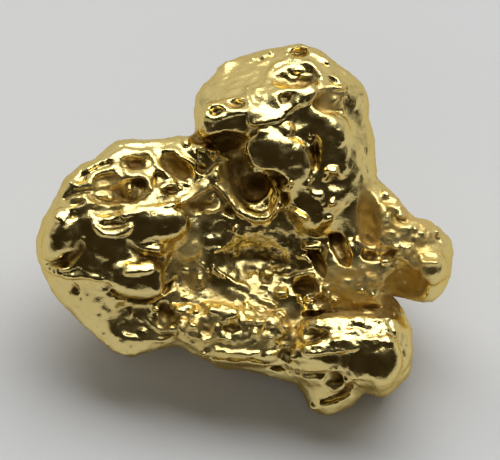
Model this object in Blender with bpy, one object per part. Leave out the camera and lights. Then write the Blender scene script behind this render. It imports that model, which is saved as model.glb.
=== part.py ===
"""A native gold nugget about 10.5 mm wide, lying on a table.

It is one solid: rounded lobes that grew together, with ledges, knobs, bright-lipped pits and creases.
The form is laid out on the nugget's broad front face, where x runs to the right, y runs up the face and z
stands out of it, all in millimetres. The face leans back from the table by FACE_TILT, and FACE_ORIGIN says
where its own zero stands over the table. A signed distance, below zero in the metal, is worked out on a
lattice of points: lumps are added to it, pits and creases are cut from it, and a skin is drawn where it
passes through zero.
"""
import math
import random

import bpy
import numpy as np
from mathutils import Matrix

MM = 0.001                           # the script's lengths are millimetres, Blender's are metres

LATTICE_STEP = 0.09                  # between the points at which the form is worked out
LATTICE_LOW = (-5.8, -5.1, -6.0)     # the lattice's corners in the face's own frame
LATTICE_HIGH = (5.6, 5.1, 2.4)
TRIANGLES = 9400                     # what the finished solid keeps

FACE_TILT = 50.0                     # degrees between the table and the way the broad face looks
FACE_ORIGIN = (0.127, -0.680, 4.25)   # the face's zero, from the middle of the nugget's foot on the table
SOLE = 0.12                          # how far the form reaches under the table before its foot is cut flat
FOOT_CORNERS = ((-1.0, -0.45), (0.8, -1.5), (2.7, -1.4), (2.7, -0.1), (-0.3, 0.95))   # where the foot is flat
FOOT_RISE = 0.1                      # how steeply the underside leaves the table round the foot
TABLE_REACH = 12.0                   # of the block that cuts the foot, outwards from the foot's sides
TABLE_DEPTH = 5.0

EDGE_DEPTH = -0.9                    # the depth at which the outline runs round the nugget
EDGE_HALF = 0.9                      # half the thickness there
EDGE_ROUND = 0.85                    # how far in from the outline the edge is rounded
EDGE_SOFTEN = 0.12                   # how far the outline's corners are softened
EDGE_SPARE = 0.06                    # how far the form reaches past the outline before its last trim
TAPER_IN_FRONT = 0.1                 # how fast the form draws in from the outline before that depth
TAPER_BEHIND = 0.14                  # and behind it
BACK = -1.2                          # whatever is deeper than this is the hidden side

# The outline of the broad face, clockwise from the top of the head (x, y).
OUTLINE = (
    # head, right side
    (1.25, 4.70), (1.70, 4.55), (2.08, 4.25), (2.38, 4.03), (2.75, 3.75), (2.95, 3.45), (3.00, 2.80),
    (3.13, 2.25), (3.15, 1.63), (3.18, 1.28),
    # right arm
    (3.45, 1.08), (3.75, 0.75), (4.05, 0.30), (4.50, 0.28), (4.80, 0.05), (5.08, -0.25), (5.13, -0.55),
    (5.08, -1.13), (4.90, -1.55), (4.55, -1.83), (4.20, -1.80), (3.75, -1.65), (3.43, -1.52),
    # roll
    (3.38, -1.66), (3.63, -1.75), (3.88, -2.05), (4.05, -2.50), (4.08, -3.00), (4.03, -3.63), (3.75, -3.93),
    (3.45, -4.18), (3.13, -4.20), (2.83, -4.00),
    # foot
    (2.78, -4.20), (2.50, -4.45), (1.95, -4.68), (1.50, -4.50), (1.38, -4.15), (1.15, -3.88),
    # lower ledge
    (0.75, -3.75), (0.25, -3.60), (-0.25, -3.50), (-0.75, -3.48), (-1.13, -3.28), (-1.63, -3.03),
    # left lobe
    (-1.75, -2.88), (-2.00, -2.95), (-2.50, -3.05), (-3.00, -3.20), (-3.45, -3.05), (-3.83, -2.70),
    (-4.25, -2.30), (-4.63, -1.95), (-5.00, -1.50), (-5.23, -1.00), (-5.35, -0.68), (-5.38, -0.33),
    (-5.20, 0.25), (-5.00, 0.58), (-4.83, 0.93), (-4.60, 1.35), (-4.25, 1.63), (-3.88, 1.80), (-3.55, 2.13),
    (-3.25, 2.30), (-2.75, 2.25), (-2.25, 2.30), (-1.75, 2.35), (-1.48, 2.35),
    # head, left side
    (-1.35, 2.45), (-1.40, 3.00), (-1.35, 3.38), (-1.20, 3.63), (-0.95, 3.83), (-0.75, 4.15), (-0.25, 4.35),
    (0.25, 4.53), (0.75, 4.60))

# The lobes under everything: centre (x, y, z), radii (x, y, z), turn in degrees, and how far each melts in.
LOBES = {
    # behind the face
    "heart": ((0.0, -0.7, -2.45), (3.6, 2.5, 1.85), 0, 0.8),
    "back of the head": ((0.8, 2.3, -1.6), (1.9, 2.0, 1.3), 0, 0.8),
    "back of the left lobe": ((-3.1, -0.4, -1.6), (1.9, 2.1, 1.4), 0, 0.8),
    "back of the roll": ((2.6, -1.6, -1.9), (1.6, 2.0, 1.5), 0, 0.8),
    # in front
    "crown": ((0.75, 3.35, -0.5), (1.95, 1.15, 1.35), 6, 0.4),
    "cheek": ((1.9, 1.6, -0.35), (1.0, 1.6, 1.05), 8, 0.4),
    "left dome": ((-3.3, -0.1, -0.45), (1.95, 1.9, 1.25), 0, 0.5),
    "foot": ((2.1, -3.95, -0.6), (0.72, 0.6, 0.75), 0, 0.25),
    "arm root": ((3.2, 0.2, -0.5), (0.9, 0.8, 0.85), -30, 0.35),
    "roll": ((2.5, -3.05, -0.3), (1.75, 1.05, 1.2), 4, 0.25),
}

# The hollows between them, cut out in the same way.
HOLLOWS = {
    "centre valley": ((0.6, -0.5, 0.85), (1.9, 1.0, 0.95), -6, 0.3),
    "right valley": ((2.7, -1.1, 0.75), (1.1, 0.8, 0.72), -10, 0.3),
    "cleft": ((2.36, -0.42, 0.35), (0.15, 0.34, 0.55), 14, 0.1),
    "left valley": ((-1.5, -0.95, 0.7), (0.8, 0.7, 0.75), -15, 0.3),
    "neck valley": ((-1.15, 1.75, 0.45), (0.45, 0.5, 0.5), 0, 0.2),
    "fork valley": ((-1.2, 0.5, 0.75), (0.7, 0.6, 0.65), 0, 0.2),
}

# The lobes that stand over the hollows.
LOBES_OVER = {
    "knuckle": ((-4.65, -0.05, 0.02), (0.5, 0.84, 0.72), -24, 0.12),
    "arm ball": ((4.48, -0.93, -0.15), (0.5, 0.5, 0.66), 0, 0.15),
    "lower ledge": ((-0.2, -3.1, -0.05), (1.1, 0.28, 0.5), -4, 0.15),
}

# Pads, lobes with a flattened front: centre, radii, turn, how the front rises across and up, and melting in.
PADS = {
    # head
    "brow": ((-0.5, 2.76, 0.32), (0.85, 0.52, 0.56), 6, (0.0, 0.02), 0.15),
    "brow shelf": ((0.5, 2.85, 0.35), (0.7, 0.42, 0.52), 12, (0.0, -0.4), 0.12),
    "nose": ((0.6, 1.78, 0.6), (0.84, 0.66, 0.48), -16, (0.0, 0.2), 0.08),
    "nose wing": ((1.15, 1.5, 0.52), (0.4, 0.5, 0.4), -20, (0.0, 0.1), 0.15),
    "temple": ((1.55, 2.68, 0.4), (0.62, 0.42, 0.36), -22, (0.1, 0.2), 0.15),
    "jowl": ((2.08, 2.15, 0.15), (0.46, 0.75, 0.64), 0, (-0.2, 0.15), 0.15),
    "chin": ((1.42, 0.6, 0.15), (0.42, 0.68, 0.5), 24, (0.0, 0.05), 0.35),
    # left lobe
    "upper bulge": ((-2.35, 0.1, 0.5), (0.82, 0.42, 0.36), 10, (0.0, 0.1), 0.15),
    # bottom
    "crumb bed": ((-0.45, -2.5, 0.0), (1.5, 0.56, 0.5), -3, (0.0, -0.05), 0.2),
    "roll shelf": ((2.5, -2.52, 0.25), (1.25, 0.5, 0.75), 3, (0.0, -0.4), 0.15),
    "roll front": ((3.0, -3.3, 0.62), (0.78, 0.72, 0.5), -20, (0.0, 0.1), 0.12),
    "roll middle": ((1.9, -3.12, 0.42), (0.95, 0.28, 0.4), -3, (0.0, 0.0), 0.1),
    # right arm
    "arm": ((3.75, -0.12, -0.3), (1.05, 0.62, 0.58), -35, (0.0, -0.15), 0.3),
    "lower bulge": ((-2.78, -1.22, 0.48), (0.8, 0.46, 0.4), -5, (0.0, 0.12), 0.12),
    "saddle": ((2.7, -1.15, -0.24), (1.05, 1.0, 0.52), -5, (0.0, 0.1), 0.15),
    "nose bridge": ((0.75, 2.5, 0.5), (0.42, 0.24, 0.42), 0, (0.0, -0.3), 0.1),
    "nose root": ((1.25, 2.32, 0.42), (0.36, 0.36, 0.36), 0, (0.0, 0.1), 0.15),
}
PAD_SQUARE = 2.6                     # how square their sections are, where 2 is round

# Facets, small flattened pads: place (x, y), radii across and up, how far they stand out, turn in degrees.
FACETS = {
    # head
    "brow shelf": (0.4, 2.92, 0.5, 0.3, 0.1, 10),
    "brow to crest": (1.35, 3.38, 0.36, 0.15, 0.06, 32),
    "crest": (2.0, 3.56, 0.36, 0.07, 0.07, -3),
    "nose left": (0.37, 2.45, 0.22, 0.1, 0.08, 10),
    "nose right": (0.93, 2.52, 0.13, 0.17, 0.08, 0),
    "star": (2.02, 1.52, 0.2, 0.12, 0.10, -10),
    "temple bead": (2.06, 0.73, 0.1, 0.12, 0.09, 0),
    "web": (0.68, 0.8, 0.14, 0.3, 0.14, -5),
    "web top": (0.62, 1.14, 0.1, 0.14, 0.12, 20),
    # left lobe
    "fork": (-0.98, 1.2, 0.34, 0.17, 0.14, 32),
    "neck": (-0.88, 1.9, 0.15, 0.11, 0.10, -20),
    "fork cup": (-0.95, 0.56, 0.18, 0.08, 0.09, 15),
    "bulge edge": (-2.42, 0.52, 0.68, 0.07, 0.09, 13),
    "shelf": (-2.5, -0.43, 0.32, 0.1, 0.09, -12),
    "bulge": (-2.75, -0.94, 0.42, 0.16, 0.09, 8),
    "knuckle": (-4.68, 0.35, 0.19, 0.16, 0.07, -25),
    "step": (-4.5, -0.94, 0.26, 0.05, 0.08, 5),
    # middle
    "bright knob": (1.55, -0.37, 0.26, 0.13, 0.14, 0),
    # roll and arm
    "roll strip": (2.45, -2.84, 1.15, 0.17, 0.07, 8),
    "arm ball": (4.48, -0.82, 0.25, 0.07, 0.08, 0),
    "arm root": (2.95, -0.4, 0.24, 0.07, 0.09, -25),
}
FACET_DEPTH = 0.3
FACET_SQUARE = 5.0
FACET_BLEND = 0.04
FACET_RISE = -0.5                    # how far a facet's front rises for each millimetre up the face

# The bowls and cavities cut last, with sharp mouths that meet in crests.
CAVITIES = {
    "under the brow": ((-0.64, 2.1, 0.5), (0.62, 0.35, 0.85), 5, 0.05),
    "throat": ((-0.3, 1.5, 0.45), (0.46, 0.85, 0.72), 14, 0.08),
    "mouth": ((0.1, 1.06, 0.45), (0.5, 0.56, 0.66), 0, 0.14),
    "under the nose": ((0.55, 1.3, 0.5), (0.45, 0.2, 0.6), -10, 0.05),
    "upper hollow": ((-3.25, 1.03, 0.75), (0.92, 0.42, 0.62), 4, 0.06, (0.0, 0.6)),
    "olive hollow": ((-2.82, 1.74, 0.3), (0.5, 0.25, 0.48), 2, 0.06, (0.0, 0.5)),
    "left recess": ((-2.65, -2.3, 0.33), (0.88, 0.5, 0.5), -12, 0.08, (0.0, 0.15), 3.0),
    "basin": ((0.2, -0.95, 0.3), (1.12, 0.68, 0.8), -12, 0.3, (0.0, -0.35)),
    "dark bowl": ((-0.88, -1.36, 0.33), (0.56, 0.42, 0.45), -38, 0.12, (0.0, 0.1), 2.6),
    "left bowl": ((-1.68, -1.28, 0.5), (0.5, 0.5, 0.55), 0, 0.25),
    "upper bowl": ((-0.75, 0.02, 0.45), (0.62, 0.42, 0.55), 10, 0.08),
    "fork bowl": ((-1.22, 0.72, 0.5), (0.42, 0.3, 0.45), 20, 0.07),
    "arm cavity": ((3.88, -1.62, 0.1), (0.62, 0.66, 0.62), -10, 0.1),
    "flank cleft": ((2.97, 0.2, 0.35), (0.32, 0.95, 0.42), 4, 0.05),
    "crown oval": ((1.1, 3.9, 0.58), (0.66, 0.36, 0.5), 0, 0.05, (0.0, -0.15), 3.0),
}

# The heel under the face, which the nugget rests on.
HEEL = ((-0.02, -1.19, -2.53), (2.4, 1.8, 1.8), 0, 0.3)

# Slopes that plane a lobe off: a point on the slope, the way it looks, the corners it stays between.
SLOPES = {
    "brow": ((0.3, 3.25, 0.85), (-0.3, 0.79, 0.6), (-1.5, 2.6, -1.5), (1.6, 4.9, 2.0)),
    "crown": ((2.2, 3.5, 0.4), (0.45, 0.6, 0.6), (1.4, 2.8, -1.5), (3.4, 4.9, 2.0)),
}
SLOPE_BLEND = 0.25

# Pits: place (x, y), radii across and up, depth, turn in degrees.
PITS = {
    # head
    "cheek scoop": (1.93, 3.2, 0.36, 0.34, 0.1, 0),
    "wing slot": (1.62, 1.8, 0.1, 0.42, 0.2, 0),
    "gullet": (0.1, 1.1, 0.36, 0.38, 0.12, 0),
    # left lobe
    "crescent bed": (-3.42, 0.14, 0.3, 0.12, 0.14, 0),
    "recess tail": (-2.1, -2.05, 0.24, 0.2, 0.2, 0),
    "belly nick": (-4.38, -1.47, 0.1, 0.1, 0.08, 30),
    "belly notch": (-3.52, -1.45, 0.1, 0.1, 0.07, 0),
    # middle
    "round hole": (1.35, -1.4, 0.34, 0.25, 0.35, 0),
    "fork pit": (-1.25, 0.6, 0.25, 0.15, 0.12, 0),
    "lip pit": (-0.5, 0.5, 0.18, 0.16, 0.12, -20),
    "bed pit": (-1.15, -2.45, 0.16, 0.14, 0.12, 0),
    "bed end pit": (0.85, -2.74, 0.14, 0.08, 0.1, 20),
    "ledge pit": (0.95, -3.1, 0.16, 0.14, 0.12, 0),
    # lower right
    "roll well": (1.45, -2.6, 0.5, 0.16, 0.2, 0),
    "roll slot": (2.7, -2.42, 0.28, 0.07, 0.07, -4),
    "foot pit": (2.65, -3.85, 0.1, 0.13, 0.12, 0),
    # right arm
    "arm root hollow": (3.0, -0.62, 0.2, 0.14, 0.15, 0),
    "arm dent": (3.45, 0.75, 0.2, 0.1, 0.08, -20),
    "arm bend": (3.42, -0.55, 0.13, 0.09, 0.09, 0),
    "temple": (2.25, 1.15, 0.36, 0.2, 0.12, 0),
    "foot facets": (2.05, -3.85, 0.32, 0.25, 0.12, 30),
    "bed": (-3.6, 0.5, 0.4, 0.17, 0.25, 0),
}
PIT_BLEND = 0.1

# Lipped hollows, deepest under their upper lip: place (x, y), radii across and up, depth, turn in degrees.
LIPPED = {
    "brown": (-3.6, 1.22, 0.36, 0.2, 0.22, 14),
    "round": (-2.78, 1.12, 0.2, 0.18, 0.2, -10),
    "cup": (-4.25, 1.22, 0.2, 0.14, 0.14, 0),
    "side": (-2.25, 1.25, 0.16, 0.2, 0.16, 10),
    "slanted": (-1.84, 1.55, 0.5, 0.28, 0.35, -36),
    "arch": (-1.95, 0.98, 0.22, 0.12, 0.12, 0),
    "ring": (-0.8, 3.0, 0.2, 0.12, 0.12, 0),
    "long": (-0.38, 3.14, 0.26, 0.14, 0.15, -12),
    "top": (1.2, 4.45, 0.3, 0.11, 0.2, 0),
    "diamond": (0.9, 3.25, 0.22, 0.17, 0.18, 0),
    "plateau": (-0.55, -2.5, 0.4, 0.16, 0.14, 0),
    "hole teeth": (1.6, -1.75, 0.4, 0.14, 0.14, 0),
    "arm": (3.75, 0.25, 0.3, 0.16, 0.15, -35),
    "arm below": (3.5, -0.65, 0.3, 0.16, 0.15, 20),
}
LIP_LEAN = -0.5
LIP_BLEND = 0.05

# Creases: depth, blend, and the points they run through (x, y, radius).
CREASES = {
    "knuckle gap": (0.08, 0.08, ((-5.05, -0.88, 0.04), (-4.7, -0.82, 0.08), (-4.35, -0.58, 0.08),
                                 (-4.15, -0.25, 0.06))),
    "neck": (0.25, 0.1, ((-1.45, 2.4, 0.1), (-1.2, 2.2, 0.12), (-0.95, 2.15, 0.1))),
    "bulge crease": (0.16, 0.08, ((-3.5, -1.5, 0.04), (-3.1, -1.7, 0.07), (-2.65, -1.77, 0.08),
                                 (-2.2, -1.6, 0.07), (-1.95, -1.25, 0.05))),
    "upper crease": (0.1, 0.08, ((-4.65, 0.8, 0.05), (-4.35, 0.93, 0.06), (-3.95, 1.0, 0.05))),
    "roll crease": (0.14, 0.08, ((1.0, -3.55, 0.07), (1.6, -3.6, 0.08), (2.25, -3.62, 0.08),
                                 (2.62, -3.92, 0.08))),
    "ledge crease": (0.18, 0.05, ((-0.95, -3.15, 0.04), (-0.3, -3.18, 0.06), (0.25, -3.25, 0.06),
                                 (0.85, -3.45, 0.06))),
    "bulge split": (0.05, 0.08, ((-3.1, -0.3, 0.06), (-2.7, -0.65, 0.08), (-2.2, -0.7, 0.07))),
    "brow rim": (0.12, 0.05, ((-4.2, 1.35, 0.05), (-4.0, 1.45, 0.06), (-3.75, 1.6, 0.06),
                              (-3.45, 1.66, 0.06))),
    "foot slit": (0.22, 0.05, ((1.75, -4.3, 0.06), (2.0, -4.24, 0.1), (2.3, -4.08, 0.1),
                               (2.52, -3.85, 0.08))),
    "roll top": (0.14, 0.08, ((1.35, -2.12, 0.06), (2.0, -2.03, 0.08), (2.8, -1.99, 0.08),
                              (3.3, -1.95, 0.06))),
}

# Knobs: place (x, y), radii across and up, how far they stand out, turn in degrees.
KNOBS = {
    "oval bump": (1.2, 3.98, 0.17, 0.1, 0.12, 0),
    "second brow": (0.93, 2.5, 0.16, 0.14, 0.14, 0),
    "left blob": (-3.05, 1.05, 0.12, 0.2, 0.08, 10),
    "pale bump": (-3.7, 0.85, 0.3, 0.14, 0.08, 5),
    "saddle": (-1.55, -0.5, 0.32, 0.28, 0.14, 0),
    "rim blob": (0.8, -1.58, 0.17, 0.13, 0.12, 0),
    "basin crumbs": (0.55, -1.02, 0.24, 0.12, 0.1, 0),
    "basin tooth": (0.93, -0.97, 0.12, 0.08, 0.09, 10),
    "hole tooth": (1.28, -1.75, 0.1, 0.18, 0.1, 25),
    "basin facet": (-1.25, -1.32, 0.11, 0.15, 0.1, 0),
    "plateau": (-0.65, -2.12, 0.38, 0.22, 0.14, 5),
    "plateau foot": (-0.82, -2.5, 0.14, 0.2, 0.1, 0),
    "bed lump": (-1.72, -2.0, 0.24, 0.13, 0.09, -8),
    "bed bead": (-1.88, -2.45, 0.13, 0.11, 0.1, -20),
    "bed button": (-1.42, -2.4, 0.16, 0.1, 0.09, -15),
    "bed step": (0.08, -2.28, 0.24, 0.07, 0.08, 0),
    "bed crumb": (0.64, -2.36, 0.13, 0.1, 0.07, 20),
    "foot knob": (1.62, -4.4, 0.13, 0.12, 0.08, 0),
    "foot facet": (2.1, -3.9, 0.18, 0.15, 0.08, 0),
    "arm step": (3.45, -0.78, 0.14, 0.1, 0.1, 15),
    "arm cross": (3.85, -0.55, 0.22, 0.1, 0.1, 30),
}
KNOB_BLEND = 0.08

# Ridges and bright lips: how far they stand out, and the points they run through (x, y, radius).
RIDGES = {
    "step": (0.06, ((-4.98, -0.98, 0.12), (-4.6, -1.05, 0.15), (-4.15, -1.08, 0.15), (-3.7, -1.15, 0.14))),
    # head
    "brow shoulder": (0.05, ((-1.08, 2.84, 0.08), (-0.85, 2.8, 0.09), (-0.55, 2.9, 0.09), (-0.25, 2.96, 0.1),
                             (0.05, 2.95, 0.13), (0.3, 2.88, 0.16), (0.55, 2.8, 0.16), (0.85, 3.02, 0.14),
                             (1.15, 3.17, 0.13), (1.45, 3.28, 0.13), (1.65, 3.48, 0.1), (2.0, 3.57, 0.09),
                             (2.4, 3.52, 0.08))),
    "top oval rim": (0.04, ((0.15, 3.5, 0.04), (0.36, 3.56, 0.05), (0.43, 3.72, 0.05), (0.47, 3.92, 0.05),
                            (0.62, 4.1, 0.05), (0.92, 4.22, 0.05), (1.25, 4.24, 0.04), (1.52, 4.17, 0.05),
                            (1.7, 4.0, 0.05), (1.75, 3.88, 0.04))),
    "cheek crescent": (0.06, ((2.25, 3.12, 0.05), (2.3, 2.95, 0.06), (2.2, 2.85, 0.06), (2.03, 2.86, 0.06))),
    "nose bridge": (0.05, ((1.42, 2.0, 0.07), (1.58, 1.65, 0.08), (1.53, 1.35, 0.08), (1.4, 1.15, 0.06),
                           (1.55, 0.92, 0.07), (1.75, 0.85, 0.07), (1.9, 0.6, 0.06))),
    "nose crescent": (0.06, ((1.33, 2.08, 0.05), (1.47, 2.12, 0.07), (1.56, 2.25, 0.06), (1.5, 2.33, 0.05))),
    "hole lip": (0.18, ((-0.83, 1.55, 0.12), (-0.85, 1.3, 0.16), (-0.62, 1.02, 0.17), (-0.42, 0.78, 0.17),
                        (-0.22, 0.52, 0.16), (0.02, 0.38, 0.14), (0.3, 0.34, 0.14), (0.54, 0.45, 0.13),
                        (0.64, 0.72, 0.12))),
    "well rim": (0.06, ((0.66, 0.9, 0.08), (0.75, 0.7, 0.09), (0.92, 0.58, 0.08), (1.15, 0.48, 0.07),
                        (1.4, 0.33, 0.06))),
    "well bridge": (0.07, ((0.7, 0.88, 0.07), (0.86, 1.02, 0.07), (1.02, 1.2, 0.06))),
    # left lobe
    "olive rim": (0.05, ((-3.4, 1.87, 0.05), (-3.15, 1.99, 0.06), (-2.85, 1.99, 0.05), (-2.55, 1.96, 0.05),
                         (-2.38, 1.83, 0.05))),
    "slanted rim": (0.06, ((-2.15, 2.0, 0.05), (-1.9, 2.0, 0.08), (-1.75, 1.88, 0.07), (-1.55, 1.76, 0.07),
                           (-1.38, 1.65, 0.08), (-1.28, 1.42, 0.06))),
    "slanted lip": (0.05, ((-2.5, 1.95, 0.05), (-2.4, 1.75, 0.06), (-2.28, 1.55, 0.06), (-2.1, 1.4, 0.06),
                           (-1.88, 1.27, 0.06), (-1.62, 1.17, 0.05))),
    "zigzag": (0.06, ((-4.0, 1.2, 0.06), (-3.9, 1.4, 0.06), (-3.65, 1.46, 0.06), (-3.45, 1.52, 0.06),
                      (-3.28, 1.64, 0.06), (-3.12, 1.58, 0.06), (-3.03, 1.4, 0.06), (-2.8, 1.35, 0.06),
                      (-2.58, 1.3, 0.06), (-2.48, 1.05, 0.06))),
    "left crescent": (0.05, ((-4.57, 1.3, 0.06), (-4.45, 1.15, 0.07), (-4.22, 1.08, 0.08),
                             (-4.05, 1.15, 0.07))),
    "arch": (0.05, ((-2.28, 1.0, 0.04), (-2.05, 1.14, 0.05), (-1.9, 1.17, 0.05), (-1.78, 1.05, 0.05),
                    (-1.62, 0.98, 0.04))),
    "diagonal": (0.14, ((-1.85, 0.7, 0.1), (-1.5, 0.88, 0.12), (-1.3, 1.05, 0.15), (-1.05, 1.22, 0.16),
                        (-0.82, 1.3, 0.15))),
    "bulge edge": (0.07, ((-3.1, 0.38, 0.08), (-2.85, 0.48, 0.1), (-2.5, 0.55, 0.1), (-2.2, 0.58, 0.1),
                          (-1.9, 0.62, 0.08), (-1.65, 0.7, 0.07))),
    "big crescent": (0.08, ((-3.88, 0.15, 0.06), (-3.72, -0.02, 0.09), (-3.42, -0.08, 0.1),
                            (-3.12, -0.04, 0.1),
                            (-2.98, 0.1, 0.08))),
    "knuckle edge": (0.04, ((-4.8, 0.42, 0.1), (-4.55, 0.5, 0.1), (-4.25, 0.53, 0.07), (-4.05, 0.65, 0.06),
                            (-4.12, 0.8, 0.05), (-4.4, 0.78, 0.05))),
    "recess bar": (0.05, ((-2.55, -2.25, 0.04), (-2.3, -2.42, 0.05), (-2.0, -2.5, 0.06),
                          (-1.8, -2.45, 0.07))),
    # middle
    "basin brow": (0.05, ((-1.05, -0.5, 0.04), (-0.7, -0.42, 0.05), (-0.45, -0.2, 0.05), (-0.35, 0.1, 0.05))),
    "saddle line": (0.05, ((-1.4, -0.65, 0.05), (-1.2, -0.85, 0.05), (-1.08, -0.97, 0.04))),
    "bead line": (0.06, ((-0.92, -0.88, 0.05), (-0.75, -1.05, 0.05), (-0.55, -1.2, 0.045),
                         (-0.3, -1.35, 0.05),
                         (-0.05, -1.47, 0.05), (0.07, -1.6, 0.06), (0.22, -1.65, 0.06), (0.35, -1.62, 0.06))),
    "bead tail": (0.06, ((0.2, -1.72, 0.05), (0.38, -1.8, 0.06), (0.6, -1.86, 0.07))),
    "bed brow": (0.05, ((-1.15, -1.82, 0.05), (-0.8, -1.9, 0.07), (-0.45, -1.92, 0.06))),
    "hole rim": (0.06, ((0.88, -1.45, 0.06), (0.93, -1.28, 0.06), (1.08, -1.16, 0.06), (1.3, -1.11, 0.05),
                        (1.6, -1.07, 0.05), (1.68, -1.2, 0.05), (1.77, -1.35, 0.05), (1.75, -1.6, 0.05))),
    "basin arch": (0.05, ((1.25, -0.65, 0.05), (1.5, -0.75, 0.05), (1.66, -0.95, 0.05))),
    "ledge lip": (0.06, ((-0.82, -3.0, 0.04), (-0.5, -3.06, 0.05), (-0.2, -3.08, 0.05), (0.0, -3.13, 0.05),
                         (0.2, -3.07, 0.05))),
    "ledge lip end": (0.06, ((0.45, -3.1, 0.05), (0.65, -3.06, 0.06), (0.8, -2.96, 0.05),
                             (0.95, -2.88, 0.05))),
    # lower right
    "roll upper": (0.04, ((1.1, -2.36, 0.06), (1.5, -2.3, 0.07), (2.1, -2.22, 0.08), (2.8, -2.24, 0.07),
                          (3.4, -2.22, 0.07), (3.55, -2.1, 0.06))),
    "roll lower": (0.05, ((1.35, -3.0, 0.06), (1.8, -2.93, 0.08), (2.1, -2.78, 0.09), (2.5, -2.75, 0.09),
                          (2.95, -2.72, 0.09), (3.3, -2.76, 0.08), (3.62, -2.85, 0.07))),
    "roll corner": (0.05, ((3.35, -1.98, 0.05), (3.5, -2.1, 0.06), (3.6, -2.4, 0.06), (3.64, -2.8, 0.06))),
    # right arm
    "arm top": (0.05, ((3.35, 0.93, 0.05), (3.5, 0.97, 0.06), (3.65, 0.8, 0.06))),
    "arm brow": (0.06, ((4.12, 0.17, 0.05), (4.35, 0.05, 0.06), (4.55, -0.07, 0.06), (4.72, 0.02, 0.05))),
    "arm crescent": (0.07, ((2.65, -0.22, 0.05), (2.8, -0.37, 0.07), (2.95, -0.43, 0.07),
                            (3.1, -0.38, 0.06))),
    "ball lip": (0.03, ((4.22, -0.62, 0.05), (4.3, -0.77, 0.06), (4.5, -0.8, 0.06), (4.68, -0.78, 0.06),
                        (4.74, -0.62, 0.05))),
}
RIDGE_BLEND = 0.04
BEAD_DEPTH = 1.6                     # a ridge's beads: their depth in radii,
BEAD_REACH = 0.05                    # how far along it they reach, beside half a radius,
BEAD_SQUARE = 3.0
BEAD_RISE = -0.5                     # how far their fronts rise for each millimetre up the face,
BEAD_ASLANT = 0.3                    # and what limits it where the ridge runs up the face

# The hidden side: spacing, radius range, rise range (hollows under zero), blend, share kept, seed.
BACK_RELIEF = {
    "lobes": (1.3, (0.65, 1.0), (0.15, 0.32), 0.25, 0.85, 3),
    "hollows": (0.9, (0.35, 0.7), (-0.32, -0.15), 0.15, 0.75, 5),
    "knobs": (0.75, (0.25, 0.45), (0.06, 0.14), 0.15, 0.5, 8),
}

# Waves all over the skin: length, reach, seed.
WAVES = {
    "broad": (1.3, 0.2, 21),
    "middle": (0.62, 0.12, 22),
}
WAVES_IN_FRONT = 0.3                 # the share of their reach that the waves keep on the broad face
WAVES_FADE = (-1.6, -0.9)            # the depths between which they fade to it

TRIM_BLEND = 0.15                    # how softly whatever crosses the outline is trimmed to it
NEAR_CUT = 0.15                      # the least margin round a shape in which the lattice is worked out
LEAST_DEPTH = 0.03                   # the least radius out of the face that a knob is given
PIT_SINK = 0.3                       # how far a pit's own centre stands over the surface, in its radii
PIT_WIDEN = 1.05                     # what keeps the pit's mouth as wide as it says at that height
PATH_STEP = 0.12                     # between the points of a smoothed ridge or crease


def smooth_union(a, b, blend):
    """The nearer of two distances, melted together over the blend."""
    near = np.maximum(blend - np.abs(a - b), 0.0) / blend
    return np.minimum(a, b) - near * near * blend * 0.25


def smooth_cut(a, b, blend):
    """What is left of a once everything on the inner side of b is kept."""
    return -smooth_union(-a, -b, blend)


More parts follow.
